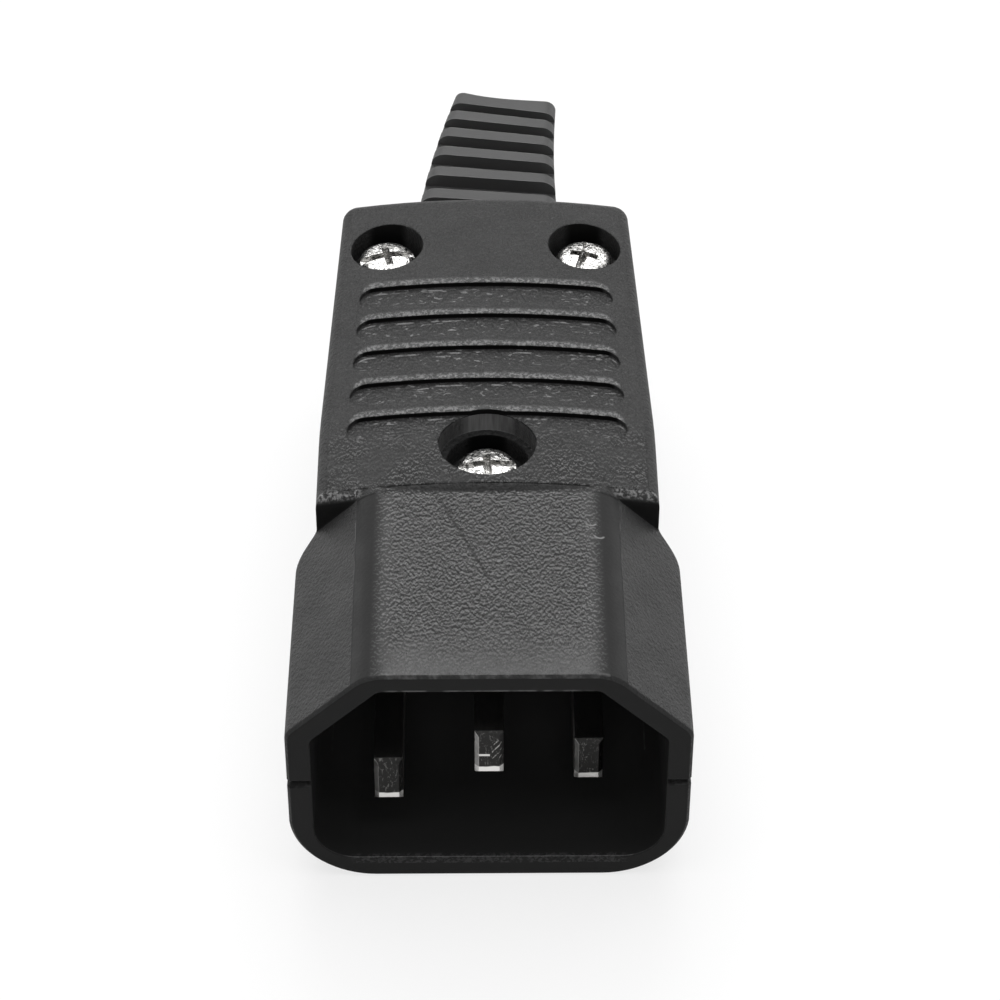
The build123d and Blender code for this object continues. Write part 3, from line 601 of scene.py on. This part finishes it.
def plated_pins(colour):
    """Nickel plated blades painted dark as reflections, darkest on the ends, with scores, a painted
    reflection on a rubbed band at each end's foot, and a painted highlight on the left faces.
    """
    f = Finish("plated_pins")
    across, along, _ = f.normals()
    low, pitch, foot = PIN_FOOT
    height = (f.z - low).wrapped(pitch)
    wave = f.noise(900, 2.0, 0.5)
    end = f.step(along, -0.4, -0.6)
    # painted reflection on a rubbed band at the foot of each end
    bright = f.step(height + wave * 0.3, foot + 0.2, foot + 0.1) * end
    # painted highlight on the left faces near the tips
    left = f.step(across, -0.4, -0.6) * f.step(f.y, -10.0, -12.0)
    scores = f.step(f.noise(2400, 3.0, 0.7, (1.6, 1.0, 0.7), 1.6), 0.57, 0.66) * end * 0.12
    earth = f.x.between(-EARTH_HALF_WIDTH, EARTH_HALF_WIDTH) * end
    dash = f.x.between(*EARTH_DASH["x"]) * f.z.between(*EARTH_DASH["z"]) * earth
    across_cut, up_cut = EARTH_CUTS["slant"]
    cuts = (f.x * across_cut - f.z * up_cut + wave * 0.15).wrapped(EARTH_CUTS["pitch"])
    cuts = f.step(cuts, 0.1, 0.05) * f.x.between(*EARTH_CUTS["x"]) * f.z.between(*EARTH_CUTS["z"])
    cuts = cuts * earth * f.step(f.noise(2100, 2.0, 0.6), 0.42, 0.55)
    drawn = f.noise(5200, 2.0, 0.6, (1.0, 0.06, 1.0))
    rubbed = f.noise(1300, 4.0, 0.65, distortion=1.2)
    scratches_and_highlights = bright.larger(left * 0.5).larger(scores).larger(dash * 0.8).larger(cuts * 0.45)
    # plating painted dark as dark reflections, darkest on the ends
    shade = f.mix(end, rgba(colour, 0.24), rgba(colour, 0.03))
    shade = f.mix(scratches_and_highlights, shade, rgba(colour, 0.95))
    rough = f.spread(drawn + rubbed, 0.7, 1.3, 0.3, 0.5)
    normal = f.bump(drawn * 0.6 + rubbed * 0.8, 0.02 * MM, f.edges_rounded(0.1 * MM))
    return f.closed(f.shader(Base_Color=shade, Metallic=1.0, Roughness=rough, Normal=normal))


def bright_screws(colour):
    """Bright plated steel with wavy ripples and dark wavy lines painted as reflections."""
    f = Finish("bright_screws")
    waves = f.noise(1500, 2.0, 0.5, distortion=1.8)
    marks = f.noise(4800, 2.0, 0.5)
    # painted reflections: dark wavy lines along the ripples
    lines = f.step(abs(waves - 0.5), 0.05, 0.015).larger(f.step(abs(waves - 0.66), 0.04, 0.01))
    shade = f.mix(lines * 0.9, rgba(colour, 0.78), rgba(colour, 0.05))
    rough = f.spread(marks, 0.3, 0.7, 0.2, 0.4)
    normal = f.bump(waves + marks * 0.2, 0.08 * MM, f.edges_rounded(0.06 * MM))
    return f.closed(f.shader(Base_Color=shade, Metallic=1.0, Roughness=rough, Normal=normal))


TARNISH = (0.38, 0.25, 0.11, 1.0)


def bare_brass(colour):
    """Turned and stamped brass, a little tarnished."""
    f = Finish("bare_brass")
    tarnish = f.noise(700, 4.0, 0.65)
    tooling = f.noise(5200, 2.0, 0.5, (1.0, 0.15, 1.0))
    shade = f.mix(f.step(tarnish, 0.35, 0.7), rgba(colour), TARNISH)
    rough = f.spread(tarnish + tooling, 0.6, 1.4, 0.24, 0.5)
    normal = f.bump(tooling, 0.012 * MM, f.edges_rounded(0.06 * MM))
    return f.closed(f.shader(Base_Color=shade, Metallic=1.0, Roughness=rough, Normal=normal))


# Floor: where its glow starts and stops to grow, in millimetres from the plug, and its share there
GLOW_REACH = (120.0, 500.0)
GLOW_SHARE = (0.75, 1.0)


def white_floor(colour):
    """Matt white floor that reads as white to the camera and still takes the shadow."""
    f = Finish("white_floor")
    paper = f.noise(40, 2.0, 0.5)
    shade = f.mix(paper * 0.1, rgba(colour), rgba(colour, 0.97))
    cloth = f.node("ShaderNodeBsdfDiffuse", None, {"Color": shade})
    path = f.node("ShaderNodeLightPath")
    rays = [Wire(f, path.socket.node.outputs[name]) for name in
            ("Is Camera Ray", "Is Glossy Ray", "Is Transmission Ray")]
    seen = rays[0].larger(rays[1]).larger(rays[2])
    glow = f.node("ShaderNodeEmission", None, {"Color": (1.0, 1.0, 1.0, 1.0), "Strength": 1.0})
    away = f.distance(0.0, 0.0)
    share = f.spread(away, *GLOW_REACH, *GLOW_SHARE)
    return f.closed(f.node("ShaderNodeMixShader", None, {0: seen * share, 1: cloth, 2: glow}))


def dress(name, material):
    """Give a CAD node one finish."""
    data = NODES[name].data
    data.materials.clear()
    data.materials.append(material)


def piece(name, bm, material, slot, *nodes, sharp_angle=35):
    """Make an object of a bmesh, fix it to the plug and let it stand for its CAD nodes."""
    data = bpy.data.meshes.new(name)
    bm.to_mesh(data)
    bm.free()
    data.materials.append(material)
    data.shade_smooth()
    data.set_sharp_from_angle(angle=math.radians(sharp_angle))
    made = bpy.data.objects.new(name, data)
    bpy.context.scene.collection.objects.link(made)
    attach(made, "root")
    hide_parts(*nodes)


def turned(profile, steps):
    """A closed solid turned about Z from an open profile of radii and heights."""
    bm = bmesh.new()
    verts = [bm.verts.new((radius, 0, height)) for radius, height in profile]
    edges = [bm.edges.new(pair) for pair in zip(verts, verts[1:])]
    bmesh.ops.spin(
        bm, geom=verts + edges, cent=(0, 0, 0), axis=(0, 0, 1), dvec=(0, 0, 0),
        angle=math.tau, steps=steps, use_merge=True, use_duplicate=False,
    )
    bmesh.ops.remove_doubles(bm, verts=bm.verts, dist=MERGE)
    bmesh.ops.recalc_face_normals(bm, faces=bm.faces)
    return bm


# Screw heads: crown and dome as shares of the head's height, their steps, the broken edge, the taper of the
# recess, and the head diameter in millimetres that the sizes of the recess and the slot belong to
CROWN_SHARE = 0.45
CROWN_STEPS = 6
DOME_SHARE = 0.12
DOME_RINGS = (0.35, 0.7, 1.0)
HEAD_EDGE = 0.06 * MM
RECESS_TAPER = 0.55
RECESS_HEAD = 4.5

# Screw threads: crest and root as shares of the pitch, and the chamfered tip
THREAD_CREST = 0.12
THREAD_ROOT = (0.38, 0.5)
TIP_HEIGHT = 0.3 * MM
TIP_INSET = 0.5 * MM

# Nuts: steps round the bore, width of a broken edge, and the angle in radians past which one is broken
NUT_BORE_STEPS = 24
NUT_EDGE = 0.12 * MM
NUT_EDGE_ANGLE = 0.6


def new_verts(result):
    """The new vertices that a bmesh operator gives back."""
    return [item for item in result["geom"] if isinstance(item, bmesh.types.BMVert)]


def cross_cutter(length, width, depth, top):
    """A tapered cross that sinks from above a screw head to the depth of its recess."""
    bm = bmesh.new()
    bmesh.ops.create_grid(bm, x_segments=1, y_segments=1, size=width / 2)
    for edge in list(bm.edges):
        outward = (edge.verts[0].co + edge.verts[1].co).normalized()
        arm = new_verts(bmesh.ops.extrude_edge_only(bm, edges=[edge]))
        bmesh.ops.translate(bm, verts=arm, vec=outward * (length - width) / 2)
    low = new_verts(bmesh.ops.extrude_face_region(bm, geom=list(bm.faces)))
    bmesh.ops.scale(bm, verts=low, vec=(RECESS_TAPER, RECESS_TAPER, 1.0))
    bmesh.ops.translate(bm, verts=low, vec=(0, 0, -2 * depth))
    bmesh.ops.translate(bm, verts=bm.verts, vec=(0, 0, top + depth))
    bmesh.ops.recalc_face_normals(bm, faces=bm.faces)
    return bm


def slot_cutter(length, width, depth, top):
    """A bar that cuts a driver slot across a screw head."""
    bm = bmesh.new()
    bmesh.ops.create_cube(bm, size=1.0)
    bmesh.ops.scale(bm, verts=bm.verts, vec=(length, width, 2 * depth))
    bmesh.ops.translate(bm, verts=bm.verts, vec=(0, 0, top))
    return bm


def carved(bm, cutters):
    """Cut forms out of a bmesh and return the mesh that is left."""
    made = []
    for name, form in [("blank", bm)] + [(f"cutter_{k}", cutter) for k, cutter in enumerate(cutters)]:
        data = bpy.data.meshes.new(name)
        form.to_mesh(data)
        form.free()
        made.append(bpy.data.objects.new(name, data))
        bpy.context.scene.collection.objects.link(made[-1])
    for cutter in made[1:]:
        cut = made[0].modifiers.new(cutter.name, "BOOLEAN")
        cut.operation = "DIFFERENCE"
        cut.solver = "EXACT"
        cut.object = cutter
    graph = bpy.context.evaluated_depsgraph_get()
    result = bpy.data.meshes.new_from_object(made[0].evaluated_get(graph))
    for form in made:
        old = form.data
        bpy.data.objects.remove(form)
        bpy.data.meshes.remove(old)
    return result


def screw(sizes, kind):
    """Pan head screw with a slot and a cross recess, its seat at height 0."""
    length = kind.length * MM
    radius = kind.diameter / 2 * MM
    head = kind.head_diameter / 2 * MM
    height = kind.head_height * MM
    crown = CROWN_SHARE * height
    dome = DOME_SHARE * height
    flat = head - crown
    side = height - dome - crown
    profile = [(0, height)]
    profile += [(flat * share, height - dome * share**2) for share in DOME_RINGS]
    for step in range(1, CROWN_STEPS + 1):
        angle = math.pi / 2 * step / CROWN_STEPS
        profile.append((flat + crown * math.sin(angle), side + crown * math.cos(angle)))
    profile += [(head, HEAD_EDGE), (head - HEAD_EDGE, 0), (radius, 0)]
    pitch = sizes.thread_pitch
    root = radius - sizes.thread_depth
    level = -pitch
    while level > pitch - length:
        profile.append((radius, level + THREAD_CREST * pitch))
        profile += [(root, level - share * pitch) for share in THREAD_ROOT]
        level -= pitch
    profile += [(root, TIP_HEIGHT - length), (radius - TIP_INSET, -length), (0, -length)]
    blank = turned(profile, sizes.turn_steps)
    share = kind.head_diameter / RECESS_HEAD
    cross = cross_cutter(
        sizes.recess_length * share, sizes.recess_width * share, sizes.recess_depth, height,
    )
    slot = slot_cutter(4 * head, sizes.slot_width * share, sizes.slot_depth, height)
    return carved(blank, [cross, slot])


def repeated(single, placings):
    """A bmesh with a copy of a mesh at each placing. The mesh itself is removed."""
    group = bmesh.new()
    for placing in placings:
        before = len(group.verts)
        group.from_mesh(single)
        group.verts.ensure_lookup_table()
        bmesh.ops.transform(group, matrix=placing, verts=group.verts[before:])
    bpy.data.meshes.remove(single)
    return group


def screw_group(name, sizes, material):
    """All screws of one CAD node, as one piece."""
    kind = SCREWS[name]
    placings = [
        Matrix.Translation(Vector((x, y, z)) * MM) @ Matrix.Rotation(math.radians(turn), 4, "Z")
        for (x, y), z, turn in zip(kind.places, kind.seats, kind.turns)
    ]
    piece(name, repeated(screw(sizes, kind), placings), material, "plated_steel", kind.node)


def sharp_edges(bm, angle):
    """Edges between two faces that turn by more than an angle in radians."""
    return [edge for edge in bm.edges if len(edge.link_faces) == 2 and edge.calc_face_angle() > angle]


def nut(flats, thickness, bore_radius):
    """Hexagon nut with its lower face at height 0, its edges broken."""
    bm = bmesh.new()
    bmesh.ops.create_circle(bm, segments=6, radius=flats / math.sqrt(3))
    rim = list(bm.edges)
    bmesh.ops.create_circle(bm, segments=NUT_BORE_STEPS, radius=bore_radius)
    inner = [edge for edge in bm.edges if edge not in rim]
    bmesh.ops.bridge_loops(bm, edges=rim + inner)
    top = new_verts(bmesh.ops.extrude_face_region(bm, geom=list(bm.faces)))
    bmesh.ops.translate(bm, verts=top, vec=(0, 0, thickness))
    bmesh.ops.recalc_face_normals(bm, faces=bm.faces)
    bmesh.ops.bevel(
        bm, geom=sharp_edges(bm, NUT_EDGE_ANGLE), offset=NUT_EDGE, affect="EDGES", segments=2, profile=0.5,
        material=-1, clamp_overlap=True,
    )
    return bm


# Boot in millimetres. Distances run along its axis from the rear of the grip. Sections are a width and a
# height, and the flange also has its front and rear distance.
GRIP_REAR = 34.5
BOOT_LENGTH = 21.5
BOOT_ROOT = (12.2, 10.6)
BOOT_END = (8.6, 8.6)
BOOT_BEND_RADIUS = 140.0
BOOT_TWIST = math.radians(2.5)
BOOT_COLLAR = 1.85
BOOT_RIB = 1.27
BOOT_SLOT_END_WIDTH = 1.1
BOOT_SLOT_STEP = 0.19
BOOT_SLOT_COUNT = 6
BOOT_SLOTS = [BOOT_SLOT_END_WIDTH + BOOT_SLOT_STEP * k for k in range(BOOT_SLOT_COUNT)]
BOOT_SLOT_DEPTH = (1.45, 0.85)
BOOT_AXIS_HEIGHT = 10.1
BOOT_BORE = 3.1
BOOT_FLANGE = (10.4, 12.4, -3.7, -1.8)
BOOT_NECK = (9.8, 9.1)
BOOT_GAP = 0.1

# Mesh of the boot: round corner of a section as a share of its half width, steps of its outline and of the
# bore, and the angle in radians past which an edge is rounded
SECTION_CORNER = 0.22
SECTION_CORNER_STEPS = 8
SECTION_SIDE_CUTS = 7
BORE_SEGMENTS = 44
BORE_STEP = 2.5
RIB_EDGE_ANGLE = 0.7


def boot_frame(distance, twist):
    """Placing of a section of the boot: X across it, Y up and Z along its bent axis."""
    arc = BOOT_LENGTH - BOOT_COLLAR
    turn = min(max(distance, 0), arc) / BOOT_BEND_RADIUS
    straight = distance - turn * BOOT_BEND_RADIUS
    x = BOOT_BEND_RADIUS * (1 - math.cos(turn)) + straight * math.sin(turn)
    y = GRIP_REAR + BOOT_BEND_RADIUS * math.sin(turn) + straight * math.cos(turn)
    level = math.cos(twist)
    across = Vector((level * math.cos(turn), -level * math.sin(turn), -math.sin(twist)))
    along = Vector((math.sin(turn), math.cos(turn), 0))
    placing = Matrix((across, across.cross(along), along)).transposed().to_4x4()
    return Matrix.Translation(Vector((x, y, BOOT_AXIS_HEIGHT)) * MM) @ placing


def boot_size(distance, root, end):
    return root + (end - root) * distance / BOOT_LENGTH


def boot_stations():
    """Sections of the boot from its flange to its end: distance, twist, width, height and slot floor."""
    width, height, front, rear = BOOT_FLANGE
    rows = [(front, 0, width, height, None), (rear, 0, width, height, None)]
    rows += [(rear, 0, *BOOT_NECK, None), (BOOT_GAP, 0, *BOOT_NECK, None)]

    def full(distance, floor=None):
        return (distance, BOOT_TWIST, boot_size(distance, BOOT_ROOT[0], BOOT_END[0]),
                boot_size(distance, BOOT_ROOT[1], BOOT_END[1]), floor)

    rows.append(full(BOOT_GAP))
    far = BOOT_LENGTH - BOOT_COLLAR
    ribs = []
    for slot in BOOT_SLOTS:
        middle = far - slot / 2
        half = boot_size(middle, BOOT_ROOT[1], BOOT_END[1]) / 2
        floor = half - boot_size(middle, *BOOT_SLOT_DEPTH)
        ribs.append([full(far - slot), full(far - slot, floor), full(far, floor), full(far)])
        far -= slot + BOOT_RIB
    for group in reversed(ribs):
        rows += group
    return rows + [full(BOOT_LENGTH)]


def bore_stations():
    """Distances of the sections of the cord bore, even along the bend."""
    bend = [BORE_STEP * k for k in range(int((BOOT_LENGTH - BOOT_COLLAR) // BORE_STEP) + 1)]
    return [BOOT_FLANGE[2]] + bend + [BOOT_LENGTH - BOOT_COLLAR, BOOT_LENGTH]


def ring_pushed(bm, edges):
    """Extrude a ring of edges. Returns the new ring's edges."""
    grown = bmesh.ops.extrude_edge_only(bm, edges=edges)["geom"]
    return [item for item in grown if isinstance(item, bmesh.types.BMEdge)]


def ring_verts(edges):
    return list({vert for edge in edges for vert in edge.verts})


def outer_section(sizes, distance, twist, width, height, floor):
    """Outside of the boot at a distance, as a function of the place on a unit ring."""
    placing = boot_frame(distance, twist)

    def place(a, b):
        z = b * height / 2
        if floor is not None:
            z = max(-floor, min(floor, z))
        dish = sizes.boot_end_dish * (1 - a * a) * (1 - a / 2) if distance == BOOT_LENGTH else 0.0
        return placing @ Vector((a * width / 2 * MM, z * MM, -dish))

    return place


def bore_section(sizes, distance):
    """Wall of the cord bore at a distance, as a function of the place on a unit ring."""
    placing = boot_frame(distance, 0)
    dish = sizes.boot_end_dish if distance == BOOT_LENGTH else 0.0

    def place(a, b):
        return placing @ Vector((a * BOOT_BORE * MM, b * BOOT_BORE * MM, -dish))

    return place


def square_ring(bm):
    """Edges of a square of half width 1 with round corners and divided sides."""
    bmesh.ops.create_grid(bm, x_segments=1, y_segments=1, size=1.0)
    bmesh.ops.bevel(
        bm, geom=list(bm.verts), offset=SECTION_CORNER, affect="VERTICES", segments=SECTION_CORNER_STEPS,
        profile=0.5, material=-1,
    )
    sides = [edge for edge in bm.edges if edge.calc_length() > 0.5]
    bmesh.ops.subdivide_edges(bm, edges=sides, cuts=SECTION_SIDE_CUTS)
    bmesh.ops.delete(bm, geom=list(bm.faces), context="FACES_ONLY")
    return list(bm.edges)


def round_ring(bm):
    """Edges of a circle of radius 1."""
    verts = bmesh.ops.create_circle(bm, segments=BORE_SEGMENTS, radius=1.0)["verts"]
    return [edge for edge in bm.edges if edge.verts[0] in verts and edge.verts[1] in verts]


def lofted(bm, ring, unit, sections):
    """Push a unit ring through sections of the boot. Returns the last ring's edges."""
    for vert in ring_verts(ring):
        vert[unit] = vert.co
    for index, place in enumerate(sections):
        if index:
            ring = ring_pushed(bm, ring)
        for vert in ring_verts(ring):
            a, b, _ = vert[unit]
            vert.co = place(a, b)
    return ring


def boot_form(sizes):
    """Bent, tapered and slotted sleeve with its neck, flange and cord bore."""
    bm = bmesh.new()
    unit = bm.verts.layers.float_vector.new("unit")
    outer = square_ring(bm)
    outer_end = lofted(bm, outer, unit, [outer_section(sizes, *row) for row in boot_stations()])
    bore = round_ring(bm)
    bore_end = lofted(bm, bore, unit, [bore_section(sizes, distance) for distance in bore_stations()])
    bmesh.ops.bridge_loops(bm, edges=outer + bore)
    bmesh.ops.bridge_loops(bm, edges=outer_end + bore_end)
    bmesh.ops.remove_doubles(bm, verts=bm.verts, dist=MERGE)
    bmesh.ops.recalc_face_normals(bm, faces=bm.faces)
    return bm


class PLUG_OT_shells(bpy.types.Operator):
    """Finish the two shells and the cord clamp in grained plastic"""

    bl_idname = "plug.shells"
    bl_label = "Shells"

    def execute(self, context):
        plastic = moulded_plastic(context.scene.plug_colours.plastic)
        for name in ("upper_shell", "lower_shell", "cord_clamp"):
            dress(name, plastic)
        return {"FINISHED"}


class PLUG_OT_pins(bpy.types.Operator):
    """Finish the three pins in scored plating with painted reflections and highlights"""

    bl_idname = "plug.pins"
    bl_label = "Pins"

    def execute(self, context):
        plating = plated_pins(context.scene.plug_colours.plating)
        for name in ("line_pin", "neutral_pin", "earth_pin"):
            dress(name, plating)
        return {"FINISHED"}


class PLUG_OT_screws(bpy.types.Operator):
    """Make the housing, terminal and cord clamp screws with their recesses and threads"""

    bl_idname = "plug.screws"
    bl_label = "Screws"

    def execute(self, context):
        steel = bright_screws(context.scene.plug_colours.plating)
        for name in SCREWS:
            screw_group(name, context.scene.plug_sizes, steel)
        return {"FINISHED"}


class PLUG_OT_brass(bpy.types.Operator):
    """Make the housing nuts and finish the wire clamps in brass"""

    bl_idname = "plug.brass"
    bl_label = "Nuts and Wire Clamps"

    def execute(self, context):
        brass = bare_brass(context.scene.plug_colours.brass)
        for name in ("line_wire_clamp", "neutral_wire_clamp", "earth_wire_clamp"):
            dress(name, brass)
        sizes = context.scene.plug_sizes
        low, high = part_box("housing_nuts")
        form = nut(sizes.nut_flats, high.z - low.z, sizes.nut_bore_radius)
        single = bpy.data.meshes.new("nut")
        form.to_mesh(single)
        form.free()
        places = SCREWS["rear_screws"].places + SCREWS["front_screw"].places
        group = repeated(single, [Matrix.Translation((x * MM, y * MM, low.z)) for x, y in places])
        piece("nuts", group, brass, "plain_brass", "housing_nuts")
        return {"FINISHED"}


class PLUG_OT_boot(bpy.types.Operator):
    """Make the ribbed rubber boot"""

    bl_idname = "plug.boot"
    bl_label = "Boot"

    def execute(self, context):
        sizes = context.scene.plug_sizes
        rubber = boot_rubber(context.scene.plug_colours.rubber)
        bm = boot_form(sizes)
        bmesh.ops.bevel(
            bm, geom=sharp_edges(bm, RIB_EDGE_ANGLE), offset=sizes.rib_rounding, affect="EDGES", segments=3,
            profile=0.5, material=-1, clamp_overlap=True,
        )
        piece("boot", bm, rubber, "boot_rubber", "strain_relief_boot", sharp_angle=50)
        return {"FINISHED"}


# Stage in metres and watts: the floor and its wall, and the lamps by place, size and power
FLOOR_RADIUS = 2.0
FLOOR_WALL = 1.2
FLOOR_DROP = 0.02 * MM
LAMPS = {
    "overhead": ((0.0, 0.1, 0.6), 0.8, 5.0),
    "back": ((0.0, 0.52, 0.5), 0.42, 2.2),
    "left_side": ((-0.5, 0.5, 0.16), 0.26, 0.5),
    "right_side": ((0.5, 0.5, 0.16), 0.26, 0.5),
    "front_fill": ((0.0, -0.5, 0.42), 0.3, 0.5),
}
LAMP_AIM = (0.0, 0.01, 0.01)
WORLD_STRENGTH = 0.1

# Camera: lens, sensor and place in millimetres, angles in degrees
CAMERA_LENS = 118.44
CAMERA_SENSOR = 36.0
CAMERA_PLACE = (-0.756, -172.906, 176.429)
CAMERA_PITCH = 42.303
CAMERA_YAW = 0.541
CAMERA_ROLL = 0.114


class PLUG_OT_stage(bpy.types.Operator):
    """Lay the floor, hang the soft lights and set up the camera"""

    bl_idname = "plug.stage"
    bl_label = "Stage"

    def execute(self, context):
        scene = context.scene
        self.floor(scene)
        for name, (place, size, power) in LAMPS.items():
            self.lamp(scene, name, place, size, power)
        world = bpy.data.worlds.new("studio")
        world.use_nodes = True
        world.node_tree.nodes["Background"].inputs["Color"].default_value = (1.0, 1.0, 1.0, 1.0)
        world.node_tree.nodes["Background"].inputs["Strength"].default_value = WORLD_STRENGTH
        scene.world = world
        scene.view_settings.view_transform = "Standard"
        self.camera(scene)
        return {"FINISHED"}

    def floor(self, scene):
        """A wide round floor with a wall round it, a hair under the plug."""
        bm = bmesh.new()
        bmesh.ops.create_circle(bm, cap_ends=True, segments=64, radius=FLOOR_RADIUS)
        wall_top = ring_verts(ring_pushed(bm, [edge for edge in bm.edges if edge.is_boundary]))
        bmesh.ops.translate(bm, verts=wall_top, vec=(0, 0, FLOOR_WALL))
        bmesh.ops.translate(bm, verts=bm.verts, vec=(0, 0, -FLOOR_DROP))
        data = bpy.data.meshes.new("floor")
        bm.to_mesh(data)
        bm.free()
        data.materials.append(white_floor(scene.plug_colours.floor))
        floor = bpy.data.objects.new("floor", data)
        scene.collection.objects.link(floor)

    def lamp(self, scene, name, place, size, power):
        """A square soft light aimed at the plug."""
        light = bpy.data.lights.new(name, "AREA")
        light.shape = "SQUARE"
        light.size = size
        light.energy = power
        made = bpy.data.objects.new(name, light)
        made.location = place
        made.rotation_euler = (Vector(LAMP_AIM) - Vector(place)).to_track_quat("-Z", "Y").to_euler()
        scene.collection.objects.link(made)

    def camera(self, scene):
        """Camera at the photograph's viewing angle, worked out from the plug's own edges."""
        data = bpy.data.cameras.new("camera")
        data.sensor_width = CAMERA_SENSOR
        data.lens = CAMERA_LENS
        data.clip_start = 0.01
        made = bpy.data.objects.new("camera", data)
        pitch, yaw, roll = (math.radians(angle) for angle in (CAMERA_PITCH, CAMERA_YAW, CAMERA_ROLL))
        reach = math.cos(pitch)
        forward = Vector((math.sin(yaw) * reach, math.cos(yaw) * reach, -math.sin(pitch)))
        level = Vector((math.cos(yaw), -math.sin(yaw), 0))
        rise = level.cross(forward)
        right = level * math.cos(roll) + rise * math.sin(roll)
        up = rise * math.cos(roll) - level * math.sin(roll)
        turn = Matrix((right, up, -forward)).transposed()
        made.matrix_world = Matrix.Translation(Vector(CAMERA_PLACE) * MM) @ turn.to_4x4()
        scene.collection.objects.link(made)
        scene.camera = made


class PLUG_PT_sidebar(bpy.types.Panel):
    """Lists the plug's operators, sizes and colours"""

    bl_idname = "PLUG_PT_sidebar"
    bl_label = "Rewirable Plug"
    bl_space_type = "VIEW_3D"
    bl_region_type = "UI"
    bl_category = "Plug"

    def draw(self, context):
        column = self.layout.column()
        for operator in OPERATORS:
            column.operator(operator.bl_idname)
        for group in (context.scene.plug_sizes, context.scene.plug_colours):
            for name in group.__annotations__:
                column.prop(group, name)


OPERATORS = (PLUG_OT_shells, PLUG_OT_pins, PLUG_OT_screws, PLUG_OT_brass, PLUG_OT_boot, PLUG_OT_stage)
CLASSES = (PlugSizes, PlugColours, *OPERATORS, PLUG_PT_sidebar)


def register():
    for cls in CLASSES:
        bpy.utils.register_class(cls)
    bpy.types.Scene.plug_sizes = PointerProperty(type=PlugSizes)
    bpy.types.Scene.plug_colours = PointerProperty(type=PlugColours)


def unregister():
    del bpy.types.Scene.plug_colours
    del bpy.types.Scene.plug_sizes
    for cls in reversed(CLASSES):
        bpy.utils.unregister_class(cls)


def main():
    register()
    bpy.ops.plug.shells()
    bpy.ops.plug.pins()
    bpy.ops.plug.screws()
    bpy.ops.plug.brass()
    bpy.ops.plug.boot()
    bpy.ops.plug.stage()


if __name__ == "__main__":
    main()
